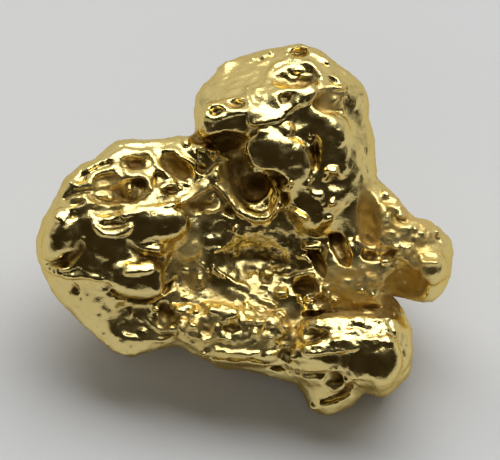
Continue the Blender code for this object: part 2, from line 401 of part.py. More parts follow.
class Form:
    """A signed distance on a lattice of points, below zero in the metal."""

    def __init__(self, step):
        self.step = step
        self.low = np.array(LATTICE_LOW)
        self.count = np.ceil((np.array(LATTICE_HIGH) - self.low) / step).astype(int) + 1
        self.axes = [self.low[i] + step * np.arange(self.count[i]) for i in range(3)]
        self.field = np.full(self.count, 3.0, dtype=np.float32)

    def window(self, low, high):
        """The part of the lattice between two corners, with its coordinates."""
        first = np.clip(np.floor((np.asarray(low) - self.low) / self.step).astype(int), 0, self.count - 1)
        last = np.clip(np.ceil((np.asarray(high) - self.low) / self.step).astype(int) + 1, 1, self.count)
        part = tuple(slice(a, b) for a, b in zip(first, last))
        x, y, z = (self.axes[i][part[i]].astype(np.float32) for i in range(3))
        return part, x[:, None, None], y[None, :, None], z[None, None, :]

    def blob(self, centre, radii, turn, lean, square, margin):
        """Distance to a lobe: turned about the way out of the face, leaning, round or square in section."""
        a, b, c = radii
        reach = np.array((max(a, b), max(a, b), c + abs(lean[0]) * a + abs(lean[1]) * b)) + margin
        part, x, y, z = self.window(np.asarray(centre) - reach, np.asarray(centre) + reach)
        angle = math.radians(turn)
        x, y, z = x - centre[0], y - centre[1], z - centre[2]
        across = (x * math.cos(angle) + y * math.sin(angle)) / a
        along = (y * math.cos(angle) - x * math.sin(angle)) / b
        out = (z - lean[0] * a * across - lean[1] * b * along) / c
        total = np.abs(across) ** square + np.abs(along) ** square + np.abs(out) ** square
        total = np.maximum(total, 1e-6)
        slope_x, slope_y, slope_z = (np.sign(v) * np.abs(v) ** (square - 1) for v in (across, along, out))
        slope_x = slope_x / a - slope_z * lean[0] / c
        slope_y = slope_y / b - slope_z * lean[1] / c
        slope = np.sqrt(slope_x ** 2 + slope_y ** 2 + (slope_z / c) ** 2) * total ** (1 / square - 1)
        return part, (total ** (1 / square) - 1) / np.maximum(slope, 1e-4)

    def add(self, centre, radii, turn, blend, lean=(0.0, 0.0), square=2.0):
        part, distance = self.blob(centre, radii, turn, lean, square, max(blend, NEAR_CUT))
        self.field[part] = smooth_union(self.field[part], distance, blend)

    def cut(self, centre, radii, turn, blend, lean=(0.0, 0.0), square=2.0):
        part, distance = self.blob(centre, radii, turn, lean, square, max(blend, NEAR_CUT))
        self.field[part] = smooth_cut(self.field[part], -distance, blend)

    def slope(self, point, way, low, high):
        """Planes off whatever stands over a slope between two corners."""
        part, x, y, z = self.window(low, high)
        way = np.array(way) / np.linalg.norm(way)
        over = (x - point[0]) * way[0] + (y - point[1]) * way[1] + (z - point[2]) * way[2]
        self.field[part] = smooth_cut(self.field[part], over, SLOPE_BLEND)

    def rods(self, path, radii, margin):
        """Distances to the round rods between a path's points, one after another."""
        for a, b, thick_a, thick_b in zip(path, path[1:], radii, radii[1:]):
            a, b = np.asarray(a, float), np.asarray(b, float)
            reach = max(thick_a, thick_b) + margin
            part, x, y, z = self.window(np.minimum(a, b) - reach, np.maximum(a, b) + reach)
            run = b - a
            x, y, z = x - a[0], y - a[1], z - a[2]
            share = np.clip((x * run[0] + y * run[1] + z * run[2]) / max(run @ run, 1e-9), 0.0, 1.0)
            away = np.sqrt((x - share * run[0]) ** 2 + (y - share * run[1]) ** 2 + (z - share * run[2]) ** 2)
            yield part, away - (thick_a + share * (thick_b - thick_a))

    def heights(self):
        """How far out the front surface stands over each column of the lattice."""
        inside = self.field < 0
        top = self.count[2] - 1 - np.argmax(inside[:, :, ::-1], axis=2)
        top = np.clip(top, 0, self.count[2] - 2)
        i, j = np.indices(top.shape)
        below, above = self.field[i, j, top], self.field[i, j, top + 1]
        share = np.clip(below / (below - above - 1e-9), 0.0, 1.0)
        return np.where(inside.any(axis=2), self.axes[2][top] + share * self.step, EDGE_DEPTH)

    def height(self, heights, x, y):
        """The front surface's height at one place, read between the columns."""
        across, along = (x - self.low[0]) / self.step, (y - self.low[1]) / self.step
        i, j = int(across), int(along)
        s, t = across - i, along - j
        lower = heights[i, j] * (1 - s) + heights[i + 1, j] * s
        upper = heights[i, j + 1] * (1 - s) + heights[i + 1, j + 1] * s
        return float(lower * (1 - t) + upper * t)


def outline_distance(form):
    """Distance in the face's plane to the outline, below zero within it."""
    x, y = form.axes[0][:, None], form.axes[1][None, :]
    near = np.full((form.count[0], form.count[1]), 1e9)
    within = np.zeros(near.shape, bool)
    for (ax, ay), (bx, by) in zip(OUTLINE, OUTLINE[1:] + OUTLINE[:1]):
        run_x, run_y = bx - ax, by - ay
        share = ((x - ax) * run_x + (y - ay) * run_y) / (run_x ** 2 + run_y ** 2)
        share = np.clip(share, 0.0, 1.0)
        near = np.minimum(near, (x - ax - share * run_x) ** 2 + (y - ay - share * run_y) ** 2)
        crossed = (ay > y) != (by > y)
        within ^= crossed & (x < (bx - ax) * (y - ay) / (by - ay + 1e-12) + ax)
    distance = np.where(within, -np.sqrt(near), np.sqrt(near))
    for _ in range(max(1, round(2 * (EDGE_SOFTEN / form.step) ** 2))):
        pad = np.pad(distance, 1, mode="edge")
        sides = pad[:-2, 1:-1] + pad[2:, 1:-1] + pad[1:-1, :-2] + pad[1:-1, 2:]
        distance = (sides + 4.0 * distance) / 8.0
    return distance[:, :, None]


def rounded_slab(form, distance):
    """The outline made into a slab with rounded edges."""
    side = distance + EDGE_ROUND
    face = np.abs(form.axes[2][None, None, :] - EDGE_DEPTH) - EDGE_HALF + EDGE_ROUND
    corner = np.sqrt(np.maximum(side, 0.0) ** 2 + np.maximum(face, 0.0) ** 2)
    return np.minimum(np.maximum(side, face), 0.0) + corner - EDGE_ROUND


def smooth_path(points):
    """A smooth path through hand-set points (x, y, radius), with points every PATH_STEP."""
    ends = [np.array(p, float) for p in points]
    ends = [2 * ends[0] - ends[1]] + ends + [2 * ends[-1] - ends[-2]]
    path = []
    for before, a, b, after in zip(ends, ends[1:], ends[2:], ends[3:]):
        steps = max(1, round(float(np.linalg.norm((b - a)[:2])) / PATH_STEP))
        for t in (i / steps for i in range(steps)):
            bend = (2 * before - 5 * a + 4 * b - after) * t ** 2
            twist = (3 * a - before - 3 * b + after) * t ** 3
            path.append(0.5 * (2 * a + (b - before) * t + bend + twist))
    path.append(ends[-2])
    return path


def add_knob(form, heights, blend, x, y, across, along, proud, turn):
    depth = max(1.2 * proud, 0.6 * min(across, along), LEAST_DEPTH)
    middle = form.height(heights, x, y) + proud - depth
    form.add((x, y, middle), (across, along, depth), turn, blend)


def leaning(rise, turn):
    """A rise up the face, as the rises along a turned shape's own two ways."""
    angle = math.radians(turn)
    return rise * math.sin(angle), rise * math.cos(angle)


def add_facet(form, heights, x, y, across, along, proud, turn):
    middle = form.height(heights, x, y) + proud - FACET_DEPTH
    form.add((x, y, middle), (across, along, FACET_DEPTH), turn, FACET_BLEND, leaning(FACET_RISE, turn),
             FACET_SQUARE)


def cut_pit(form, heights, blend, x, y, across, along, deep, turn, lean=(0.0, 0.0)):
    depth = deep / (1.0 - PIT_SINK)
    middle = form.height(heights, x, y) + PIT_SINK * depth
    form.cut((x, y, middle), (across * PIT_WIDEN, along * PIT_WIDEN, depth), turn, blend, lean)


def bead_leaning(turn):
    """How a bead leans for its front to look up the face, more across a ridge that runs aslant."""
    angle = math.radians(turn)
    across = math.cos(angle)
    return BEAD_RISE * math.sin(angle), BEAD_RISE * across / max(across ** 2, BEAD_ASLANT)


def add_ridge(form, heights, blend, proud, points):
    """A row of flattened beads whose fronts all look a little upwards."""
    path = smooth_path(points)
    for i, (x, y, radius) in enumerate(path):
        ahead = path[min(i + 1, len(path) - 1)] - path[max(i - 1, 0)]
        turn = math.degrees(math.atan2(ahead[1], ahead[0]))
        depth = BEAD_DEPTH * radius
        middle = form.height(heights, x, y) + proud - depth
        radii = (BEAD_REACH + radius / 2, radius, depth)
        form.add((x, y, middle), radii, turn, blend, bead_leaning(turn), BEAD_SQUARE)


def cut_crease(form, heights, deep, blend, points):
    path = smooth_path(points)
    centres = [(x, y, form.height(heights, x, y) + radius - deep) for x, y, radius in path]
    for part, distance in form.rods(centres, [p[2] for p in path], NEAR_CUT):
        form.field[part] = smooth_cut(form.field[part], -distance, blend)


def hidden_spots(form, spacing, seed):
    """Spots on the hidden side, none nearer another than the spacing, with the way out of each."""
    cells = np.argwhere(np.abs(form.field[1:-1, 1:-1, 1:-1]) < 0.5 * form.step) + 1
    places = form.low + cells * form.step
    cells, places = cells[places[:, 2] < BACK], places[places[:, 2] < BACK]
    free = np.ones(len(cells), bool)
    spots = []
    for i in np.random.default_rng(seed).permutation(len(cells)):
        if free[i]:
            spots.append(i)
            free &= ((places - places[i]) ** 2).sum(axis=1) > spacing ** 2
    a, b, c = cells[spots].T
    out = np.stack([form.field[a + 1, b, c] - form.field[a - 1, b, c],
                    form.field[a, b + 1, c] - form.field[a, b - 1, c],
                    form.field[a, b, c + 1] - form.field[a, b, c - 1]], axis=1)
    return places[spots], out / np.maximum(np.linalg.norm(out, axis=1, keepdims=True), 1e-6)


def relieve_back(form, spacing, radii, rises, blend, share, seed):
    """Seeded lumps, or hollows where the rise is under zero, over the hidden side."""
    dice = random.Random(seed)
    for place, out in zip(*hidden_spots(form, spacing, seed)):
        radius, rise, turn = dice.uniform(*radii), dice.uniform(*rises), dice.uniform(0, 180)
        stretch = [radius * dice.uniform(0.8, 1.25) for _ in range(3)]
        if dice.random() > share:
            continue
        if rise > 0:
            form.add(place + out * (rise - radius), stretch, turn, blend)
        else:
            form.cut(place + out * (rise + radius), stretch, turn, blend)


def spline_weights(places, length):
    """For each place, the shares that a smooth curve takes of the knots a length apart."""
    cell = (places - places[0]) / length
    knots = np.arange(-1, int(cell[-1]) + 3)
    away = np.abs(cell[:, None] - knots[None, :])
    near = 2 / 3 - away ** 2 + away ** 3 / 2
    far = np.maximum(2 - away, 0) ** 3 / 6
    return np.where(away < 1, near, far)


def ripple(form, length, reach, seed):
    """Smooth seeded waves of one length, over the whole skin and strongest on the hidden side."""
    across, along, deep = (spline_weights(axis, length) for axis in form.axes)
    knots = np.random.default_rng(seed).uniform(-1, 1, (across.shape[1], along.shape[1], deep.shape[1]))
    waves = np.einsum("ai,bj,ck,ijk->abc", across, along, deep, knots, optimize=True)
    front = np.clip((form.axes[2] - WAVES_FADE[0]) / (WAVES_FADE[1] - WAVES_FADE[0]), 0, 1)
    share = 1 - (1 - WAVES_IN_FRONT) * front
    form.field = (form.field + reach * share * waves).astype(np.float32)


def draw_in(form, distance):
    """Rounds the sides off, before and behind the depth at which the outline runs."""
    deep = form.axes[2][None, None, :] - EDGE_DEPTH
    drawn_in = np.where(deep > 0, TAPER_IN_FRONT, TAPER_BEHIND) * deep ** 2 - EDGE_SPARE
    form.field = smooth_cut(form.field, distance + drawn_in, TRIM_BLEND).astype(np.float32)


def end_at_sole(form):
    """Drops what lies deeper than the sole, just under the table."""
    tilt = math.radians(FACE_TILT)
    y, z = form.axes[1][None, :, None], form.axes[2][None, None, :]
    over = y * math.cos(tilt) + z * math.sin(tilt) + FACE_ORIGIN[2] + SOLE
    form.field = np.maximum(form.field, -over).astype(np.float32)


def nugget_form(step):
    form = Form(step)
    distance = outline_distance(form)
    form.field = np.minimum(form.field, rounded_slab(form, distance - EDGE_SPARE)).astype(np.float32)
    for lobe in LOBES.values():
        form.add(*lobe)
    for slope in SLOPES.values():
        form.slope(*slope)
    for hollow in HOLLOWS.values():
        form.cut(*hollow)
    for lobe in LOBES_OVER.values():
        form.add(*lobe)
    for centre, radii, turn, lean, blend in PADS.values():
        form.add(centre, radii, turn, blend, lean, PAD_SQUARE)
    for cavity in CAVITIES.values():
        form.cut(*cavity)
    draw_in(form, distance)
    for relief in BACK_RELIEF.values():
        relieve_back(form, *relief)
    for wave in WAVES.values():
        ripple(form, *wave)
    form.add(*HEEL)
    heights = form.heights()
    for pit in PITS.values():
        cut_pit(form, heights, PIT_BLEND, *pit)
    for pit in LIPPED.values():
        cut_pit(form, heights, LIP_BLEND, *pit, (0.0, LIP_LEAN))
    for crease in CREASES.values():
        cut_crease(form, heights, *crease)
    heights = form.heights()
    for facet in FACETS.values():
        add_facet(form, heights, *facet)
    for knob in KNOBS.values():
        add_knob(form, heights, KNOB_BLEND, *knob)
    for ridge in RIDGES.values():
        add_ridge(form, heights, RIDGE_BLEND, *ridge)
    form.field = smooth_cut(form.field, distance, EDGE_SPARE).astype(np.float32)
    end_at_sole(form)
    return form


def add_node(tree, kind, links=(), **settings):
    """Adds a node with its settings, and gives each input a value or a link."""
    node = tree.nodes.new(kind)
    for name, value in settings.items():
        setattr(node, name, value)
    for socket, source in dict(links).items():
        if isinstance(source, bpy.types.NodeSocket):
            tree.links.new(source, node.inputs[socket])
        else:
            node.inputs[socket].default_value = source
    return node


def skin_tree():
    """Geometry nodes that read the lattice's values into a volume and draw its skin."""
    tree = bpy.data.node_groups.new("skin of a lattice", "GeometryNodeTree")
    tree.interface.new_socket("Lattice", in_out="INPUT", socket_type="NodeSocketGeometry")
    for name in ("Low corner", "High corner", "Counts", "Steps per metre"):
        tree.interface.new_socket(name, in_out="INPUT", socket_type="NodeSocketVector")
    tree.interface.new_socket("Skin", in_out="OUTPUT", socket_type="NodeSocketGeometry")
    given = add_node(tree, "NodeGroupInput").outputs
    place = add_node(tree, "GeometryNodeInputPosition").outputs[0]
    offset = add_node(tree, "ShaderNodeVectorMath", {0: place, 1: given["Low corner"]}, operation="SUBTRACT")
    cell = add_node(tree, "ShaderNodeVectorMath", {0: offset.outputs[0], 1: given["Steps per metre"]},
                    operation="MULTIPLY")
    cells = add_node(tree, "ShaderNodeSeparateXYZ", {0: cell.outputs[0]}).outputs
    counts = add_node(tree, "ShaderNodeSeparateXYZ", {0: given["Counts"]}).outputs

    def whole_number(value):
        return add_node(tree, "FunctionNodeFloatToInt", {0: value}).outputs[0]

    def whole(operation, a, b):
        return add_node(tree, "FunctionNodeIntegerMath", {0: a, 1: b}, operation=operation).outputs[0]

    i, j, k = (whole_number(value) for value in cells)
    rows, columns, layers = (whole_number(value) for value in counts)

    line = whole("ADD", whole("MULTIPLY", i, columns), j)
    index = whole("ADD", whole("MULTIPLY", line, layers), k)
    level = add_node(tree, "GeometryNodeInputNamedAttribute", {"Name": "level"}, data_type="FLOAT").outputs[0]
    density = add_node(tree, "GeometryNodeSampleIndex",
                       {"Geometry": given["Lattice"], "Value": level, "Index": index},
                       data_type="FLOAT", domain="POINT", clamp=True).outputs[0]
    volume = add_node(tree, "GeometryNodeVolumeCube",
                      {"Density": density, "Background": 0.0,
                       "Min": given["Low corner"], "Max": given["High corner"],
                       "Resolution X": rows, "Resolution Y": columns, "Resolution Z": layers}).outputs[0]
    skin = add_node(tree, "GeometryNodeVolumeToMesh", {"Volume": volume, "Threshold": 0.5},
                    resolution_mode="GRID").outputs[0]
    add_node(tree, "NodeGroupOutput", {"Skin": skin})
    return tree


def triangles(mesh):
    mesh.calc_loop_triangles()
    return len(mesh.loop_triangles)


def draw_skin(form, name):
    """A closed mesh where the form's distance passes through zero, in the face's own frame."""
    lattice = bpy.data.meshes.new("lattice")
    lattice.vertices.add(int(form.count.prod()))
    level = np.clip(0.5 - form.field / (4.0 * form.step), 0.0, 1.0).astype(np.float32)
    lattice.attributes.new("level", "FLOAT", "POINT").data.foreach_set("value", level.ravel())
    holder = bpy.data.objects.new("lattice", lattice)
    bpy.context.scene.collection.objects.link(holder)
    skin = holder.modifiers.new("Skin", "NODES")
    skin.node_group = skin_tree()
    high = form.low + form.step * (form.count - 1)
    inputs = {"Low corner": form.low, "High corner": high, "Counts": form.count,
              "Steps per metre": np.full(3, 1.0 / form.step)}
    for item in skin.node_group.interface.items_tree:
        if item.name in inputs:
            skin[item.identifier] = [float(value) for value in inputs[item.name]]
    thin = holder.modifiers.new("Fewer faces", "DECIMATE")
    thin.ratio = 1.0
    graph = bpy.context.evaluated_depsgraph_get()
    thin.ratio = TRIANGLES / triangles(holder.evaluated_get(graph).data)
    graph = bpy.context.evaluated_depsgraph_get()
    mesh = bpy.data.meshes.new_from_object(holder.evaluated_get(graph))
    mesh.name = name
    bpy.data.objects.remove(holder)
    bpy.data.meshes.remove(lattice)
    return mesh


def face_to_table():
    """The turn and shift from the face's own frame to the nugget's, standing on the table."""
    tilt = math.radians(FACE_TILT)
    x, y, z = FACE_ORIGIN
    return Matrix(((1.0, 0.0, 0.0, x),
                   (0.0, math.sin(tilt), -math.cos(tilt), y),
                   (0.0, math.cos(tilt), math.sin(tilt), z),
                   (0.0, 0.0, 0.0, 1.0)))


def table_block():
    """The block that cuts the foot: level within the foot's corners, and rising gently all round them."""
    corners = np.array(FOOT_CORNERS)
    sides = np.roll(corners, -1, axis=0) - corners
    out = np.stack((sides[:, 1], -sides[:, 0]), axis=1) / np.linalg.norm(sides, axis=1)[:, None]
    before = np.roll(out, 1, axis=0)
    rim = corners + TABLE_REACH * (out + before) / (1 + (out * before).sum(axis=1))[:, None]
    rings = ((corners, 0.0), (rim, FOOT_RISE * TABLE_REACH), (rim, -TABLE_DEPTH))
    places = [(x * MM, y * MM, height * MM) for ring, height in rings for x, y in ring]
    count = len(corners)
    faces = [tuple(range(count)), tuple(reversed(range(2 * count, 3 * count)))]
    for ring in (0, count):
        for here in range(count):
            after = (here + 1) % count
            faces.append((ring + here, ring + count + here, ring + count + after, ring + after))
    mesh = bpy.data.meshes.new("table")
    mesh.from_pydata(places, [], faces)
    block = bpy.data.objects.new("table", mesh)
    bpy.context.scene.collection.objects.link(block)
    block.hide_render = True
    block.display_type = "WIRE"
    return block


def gold():
    """Native gold: a pale greenish yellow metal, worn almost to a polish."""
    material = bpy.data.materials.new("native gold")
    material.use_nodes = True
    shader = material.node_tree.nodes["Principled BSDF"]
    shader.inputs["Base Color"].default_value = (0.90, 0.72, 0.31, 1.0)
    shader.inputs["Metallic"].default_value = 1.0
    shader.inputs["Roughness"].default_value = 0.18
    return material


def main():
    for thing in list(bpy.data.objects):
        bpy.data.objects.remove(thing)
    mesh = draw_skin(nugget_form(LATTICE_STEP), "nugget")
    mesh.transform(Matrix.Scale(MM, 4) @ face_to_table())
    mesh.materials.clear()
    mesh.materials.append(gold())
    nugget = bpy.data.objects.new("nugget", mesh)
    bpy.context.scene.collection.objects.link(nugget)
    mesh.shade_smooth()
    foot = nugget.modifiers.new("Flat foot", "BOOLEAN")
    foot.operation = "DIFFERENCE"
    foot.object = table_block()


main()
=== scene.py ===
"""A native gold nugget about 10.5 mm wide, lying on a pale table.

It is one piece of metal: rounded lobes that grew together, with ledges, knobs, bright-lipped pits and
creases. The form is laid out on the nugget's broad front face, where x runs to the right, y runs up the
face and z stands out of it, all in millimetres. The face leans back from the table by FACE_TILT, and
FACE_ORIGIN says where its own zero stands over the table. A signed distance, below zero in the metal, is
worked out on a lattice of points: lumps are added to it, pits and creases are cut from it, and geometry
nodes draw a skin where it passes through zero and roughen it.
"""
import math
import random
from itertools import chain

import bpy
import numpy as np
from mathutils import Matrix, Vector


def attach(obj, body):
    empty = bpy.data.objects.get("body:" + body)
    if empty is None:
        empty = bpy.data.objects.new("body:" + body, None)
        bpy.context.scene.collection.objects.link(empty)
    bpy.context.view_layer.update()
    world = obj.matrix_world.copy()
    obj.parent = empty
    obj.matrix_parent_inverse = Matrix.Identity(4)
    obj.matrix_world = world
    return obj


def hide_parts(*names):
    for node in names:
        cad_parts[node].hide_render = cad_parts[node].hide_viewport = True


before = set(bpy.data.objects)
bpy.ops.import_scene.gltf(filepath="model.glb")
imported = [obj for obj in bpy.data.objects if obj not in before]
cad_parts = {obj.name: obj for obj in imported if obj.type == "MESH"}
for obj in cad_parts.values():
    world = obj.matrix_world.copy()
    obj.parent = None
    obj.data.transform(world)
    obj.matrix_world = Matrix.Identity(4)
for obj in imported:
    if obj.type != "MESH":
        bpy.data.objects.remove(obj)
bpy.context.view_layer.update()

MM = 0.001                           # the lengths here are millimetres, the scene's are metres

LATTICE_STEP = 0.052                 # between the points at which the form is worked out
LATTICE_LOW = (-5.8, -5.1, -6.0)     # the lattice's corners in the face's own frame
LATTICE_HIGH = (5.6, 5.1, 2.4)
TRIANGLES = 195000                   # what the finished surface keeps

FACE_TILT = 50.0                     # degrees between the table and the way the broad face looks
FACE_ORIGIN = (0.127, -0.68, 4.25)   # the face's zero, from the middle of the nugget's foot on the table

EDGE_DEPTH = -0.9                    # the depth at which the outline runs round the nugget
EDGE_HALF = 0.9                      # half the thickness there
EDGE_ROUND = 0.85                    # how far in from the outline the edge is rounded
EDGE_SOFTEN = 0.12                   # how far the outline's corners are softened
EDGE_SPARE = 0.06                    # how far the form reaches past the outline before its last trim
TAPER_IN_FRONT = 0.1                 # how fast the form draws in from the outline before that depth
TAPER_BEHIND = 0.14                  # and behind it
BACK = -1.2                          # whatever is deeper than this is the hidden side

# The outline of the broad face, clockwise from the top of the head (x, y).
OUTLINE = (
    # head, right side
    (1.25, 4.7), (1.7, 4.55), (2.08, 4.25), (2.38, 4.03), (2.75, 3.75), (2.95, 3.45), (3.0, 2.8),
    (3.13, 2.25), (3.15, 1.63), (3.18, 1.28),
    # right arm
    (3.45, 1.08), (3.75, 0.75), (4.05, 0.3), (4.5, 0.28), (4.8, 0.05), (5.08, -0.25), (5.13, -0.55),
    (5.08, -1.13), (4.9, -1.55), (4.55, -1.83), (4.2, -1.8), (3.75, -1.65), (3.43, -1.52),
    # roll
    (3.38, -1.66), (3.63, -1.75), (3.88, -2.05), (4.05, -2.5), (4.08, -3.0), (4.03, -3.63), (3.75, -3.93),
    (3.45, -4.18), (3.13, -4.2), (2.83, -4.0),
    # foot
    (2.78, -4.2), (2.5, -4.45), (1.95, -4.68), (1.5, -4.5), (1.38, -4.15), (1.15, -3.88),
    # lower ledge
    (0.75, -3.75), (0.25, -3.6), (-0.25, -3.5), (-0.75, -3.48), (-1.13, -3.28), (-1.63, -3.03),
    # left lobe
    (-1.75, -2.88), (-2.0, -2.95), (-2.5, -3.05), (-3.0, -3.2), (-3.45, -3.05), (-3.83, -2.7),
    (-4.25, -2.3), (-4.63, -1.95), (-5.0, -1.5), (-5.23, -1.0), (-5.35, -0.68), (-5.38, -0.33),
    (-5.2, 0.25), (-5.0, 0.58), (-4.83, 0.93), (-4.6, 1.35), (-4.25, 1.63), (-3.88, 1.8), (-3.55, 2.13),
    (-3.25, 2.3), (-2.75, 2.25), (-2.25, 2.3), (-1.75, 2.35), (-1.48, 2.35),
    # head, left side
    (-1.35, 2.45), (-1.4, 3.0), (-1.35, 3.38), (-1.2, 3.63), (-0.95, 3.83), (-0.75, 4.15), (-0.25, 4.35),
    (0.25, 4.53), (0.75, 4.6))

# The lobes under everything: centre (x, y, z), radii (x, y, z), turn in degrees, and how far each melts in.
LOBES = {
    # behind the face
    "heart": ((0.0, -0.7, -2.45), (3.6, 2.5, 1.85), 0, 0.8),
    "back of the head": ((0.8, 2.3, -1.6), (1.9, 2.0, 1.3), 0, 0.8),
    "back of the left lobe": ((-3.1, -0.4, -1.6), (1.9, 2.1, 1.4), 0, 0.8),
    "back of the roll": ((2.6, -1.6, -1.9), (1.6, 2.0, 1.5), 0, 0.8),
    # in front
    "crown": ((0.75, 3.35, -0.5), (1.95, 1.15, 1.35), 6, 0.4),
    "cheek": ((1.9, 1.6, -0.35), (1.0, 1.6, 1.05), 8, 0.4),
    "left dome": ((-3.3, -0.1, -0.45), (1.95, 1.9, 1.25), 0, 0.5),
    "foot": ((2.1, -3.95, -0.6), (0.72, 0.6, 0.75), 0, 0.25),
    "arm root": ((3.2, 0.2, -0.5), (0.9, 0.8, 0.85), -30, 0.35),
    "roll": ((2.5, -3.05, -0.3), (1.75, 1.05, 1.2), 4, 0.25),
}

# The hollows between them, cut out in the same way.
HOLLOWS = {
    "centre valley": ((0.6, -0.5, 0.85), (1.9, 1.0, 0.95), -6, 0.3),
    "right valley": ((2.7, -1.1, 0.75), (1.1, 0.8, 0.72), -10, 0.3),
    "cleft": ((2.36, -0.42, 0.35), (0.15, 0.34, 0.55), 14, 0.1),
    "left valley": ((-1.5, -0.95, 0.7), (0.8, 0.7, 0.75), -15, 0.3),
    "neck valley": ((-1.15, 1.75, 0.45), (0.45, 0.5, 0.5), 0, 0.2),
    "fork valley": ((-1.2, 0.5, 0.75), (0.7, 0.6, 0.65), 0, 0.2),
}

# The lobes that stand over the hollows.
LOBES_OVER = {
    "knuckle": ((-4.65, -0.05, 0.02), (0.5, 0.84, 0.72), -24, 0.12),
    "arm ball": ((4.48, -0.93, -0.15), (0.5, 0.5, 0.66), 0, 0.15),
    "lower ledge": ((-0.2, -3.1, -0.05), (1.1, 0.28, 0.5), -4, 0.15),
}

# Pads, lobes with a flattened front: centre, radii, turn, how far they melt in, and how the front rises
# across and up.
PADS = {
    # head
    "brow": ((-0.5, 2.76, 0.32), (0.85, 0.52, 0.56), 6, 0.15, (0.0, 0.02)),
    "brow shelf": ((0.5, 2.85, 0.35), (0.7, 0.42, 0.52), 12, 0.12, (0.0, -0.4)),
    "nose": ((0.6, 1.78, 0.6), (0.84, 0.66, 0.48), -16, 0.08, (0.0, 0.2)),
    "nose wing": ((1.15, 1.5, 0.52), (0.4, 0.5, 0.4), -20, 0.15, (0.0, 0.1)),
    "temple": ((1.55, 2.68, 0.4), (0.62, 0.42, 0.36), -22, 0.15, (0.1, 0.2)),
    "jowl": ((2.08, 2.15, 0.15), (0.46, 0.75, 0.64), 0, 0.15, (-0.2, 0.15)),
    "chin": ((1.42, 0.6, 0.15), (0.42, 0.68, 0.5), 24, 0.35, (0.0, 0.05)),
    # left lobe
    "upper bulge": ((-2.35, 0.1, 0.5), (0.82, 0.42, 0.36), 10, 0.15, (0.0, 0.1)),
    # bottom
    "crumb bed": ((-0.45, -2.5, 0.0), (1.5, 0.56, 0.5), -3, 0.2, (0.0, -0.05)),
    "roll shelf": ((2.5, -2.52, 0.25), (1.25, 0.5, 0.75), 3, 0.15, (0.0, -0.4)),
    "roll front": ((3.0, -3.3, 0.62), (0.78, 0.72, 0.5), -20, 0.12, (0.0, 0.1)),
    "roll middle": ((1.9, -3.12, 0.42), (0.95, 0.28, 0.4), -3, 0.1, (0.0, 0.0)),
    # right arm
    "arm": ((3.75, -0.12, -0.3), (1.05, 0.62, 0.58), -35, 0.3, (0.0, -0.15)),
    "lower bulge": ((-2.78, -1.22, 0.48), (0.8, 0.46, 0.4), -5, 0.12, (0.0, 0.12)),
    "saddle": ((2.7, -1.15, -0.24), (1.05, 1.0, 0.52), -5, 0.15, (0.0, 0.1)),
    "nose bridge": ((0.75, 2.5, 0.5), (0.42, 0.24, 0.42), 0, 0.1, (0.0, -0.3)),
    "nose root": ((1.25, 2.32, 0.42), (0.36, 0.36, 0.36), 0, 0.15, (0.0, 0.1)),
}
PAD_SQUARE = 2.6                     # how square their sections are, where 2 is round

# Facets, small flattened pads: place (x, y), radii across and up, how far they stand out, turn in degrees.
FACETS = {
    # head
    "brow shelf": (0.4, 2.92, 0.5, 0.3, 0.1, 10),
    "brow to crest": (1.35, 3.38, 0.36, 0.15, 0.06, 32),
    "crest": (2.0, 3.56, 0.36, 0.07, 0.07, -3),
    "nose left": (0.37, 2.45, 0.22, 0.1, 0.08, 10),
    "nose right": (0.93, 2.52, 0.13, 0.17, 0.08, 0),
    "star": (2.02, 1.52, 0.2, 0.12, 0.1, -10),
    "temple bead": (2.06, 0.73, 0.1, 0.12, 0.09, 0),
    "web": (0.68, 0.8, 0.14, 0.3, 0.14, -5),
    "web top": (0.62, 1.14, 0.1, 0.14, 0.12, 20),
    # left lobe
    "fork": (-0.98, 1.2, 0.34, 0.17, 0.14, 32),
    "neck": (-0.88, 1.9, 0.15, 0.11, 0.1, -20),
    "fork cup": (-0.95, 0.56, 0.18, 0.08, 0.09, 15),
    "bulge edge": (-2.42, 0.52, 0.68, 0.07, 0.09, 13),
    "shelf": (-2.5, -0.43, 0.32, 0.1, 0.09, -12),
    "bulge": (-2.75, -0.94, 0.42, 0.16, 0.09, 8),
    "knuckle": (-4.68, 0.35, 0.19, 0.16, 0.07, -25),
    "step": (-4.5, -0.94, 0.26, 0.05, 0.08, 5),
    # middle
    "bright knob": (1.55, -0.37, 0.26, 0.13, 0.14, 0),
    # roll and arm
    "roll strip": (2.45, -2.84, 1.15, 0.17, 0.07, 8),
    "arm ball": (4.48, -0.82, 0.25, 0.07, 0.08, 0),
    "arm root": (2.95, -0.4, 0.24, 0.07, 0.09, -25),
}
FACET_DEPTH = 0.3                    # a facet's radius out of the face
FACET_SQUARE = 5.0                   # how square its section is, where 2 is round
FACET_BLEND = 0.04
FACET_RISE = -0.5                    # how far a facet's front rises for each millimetre up the face

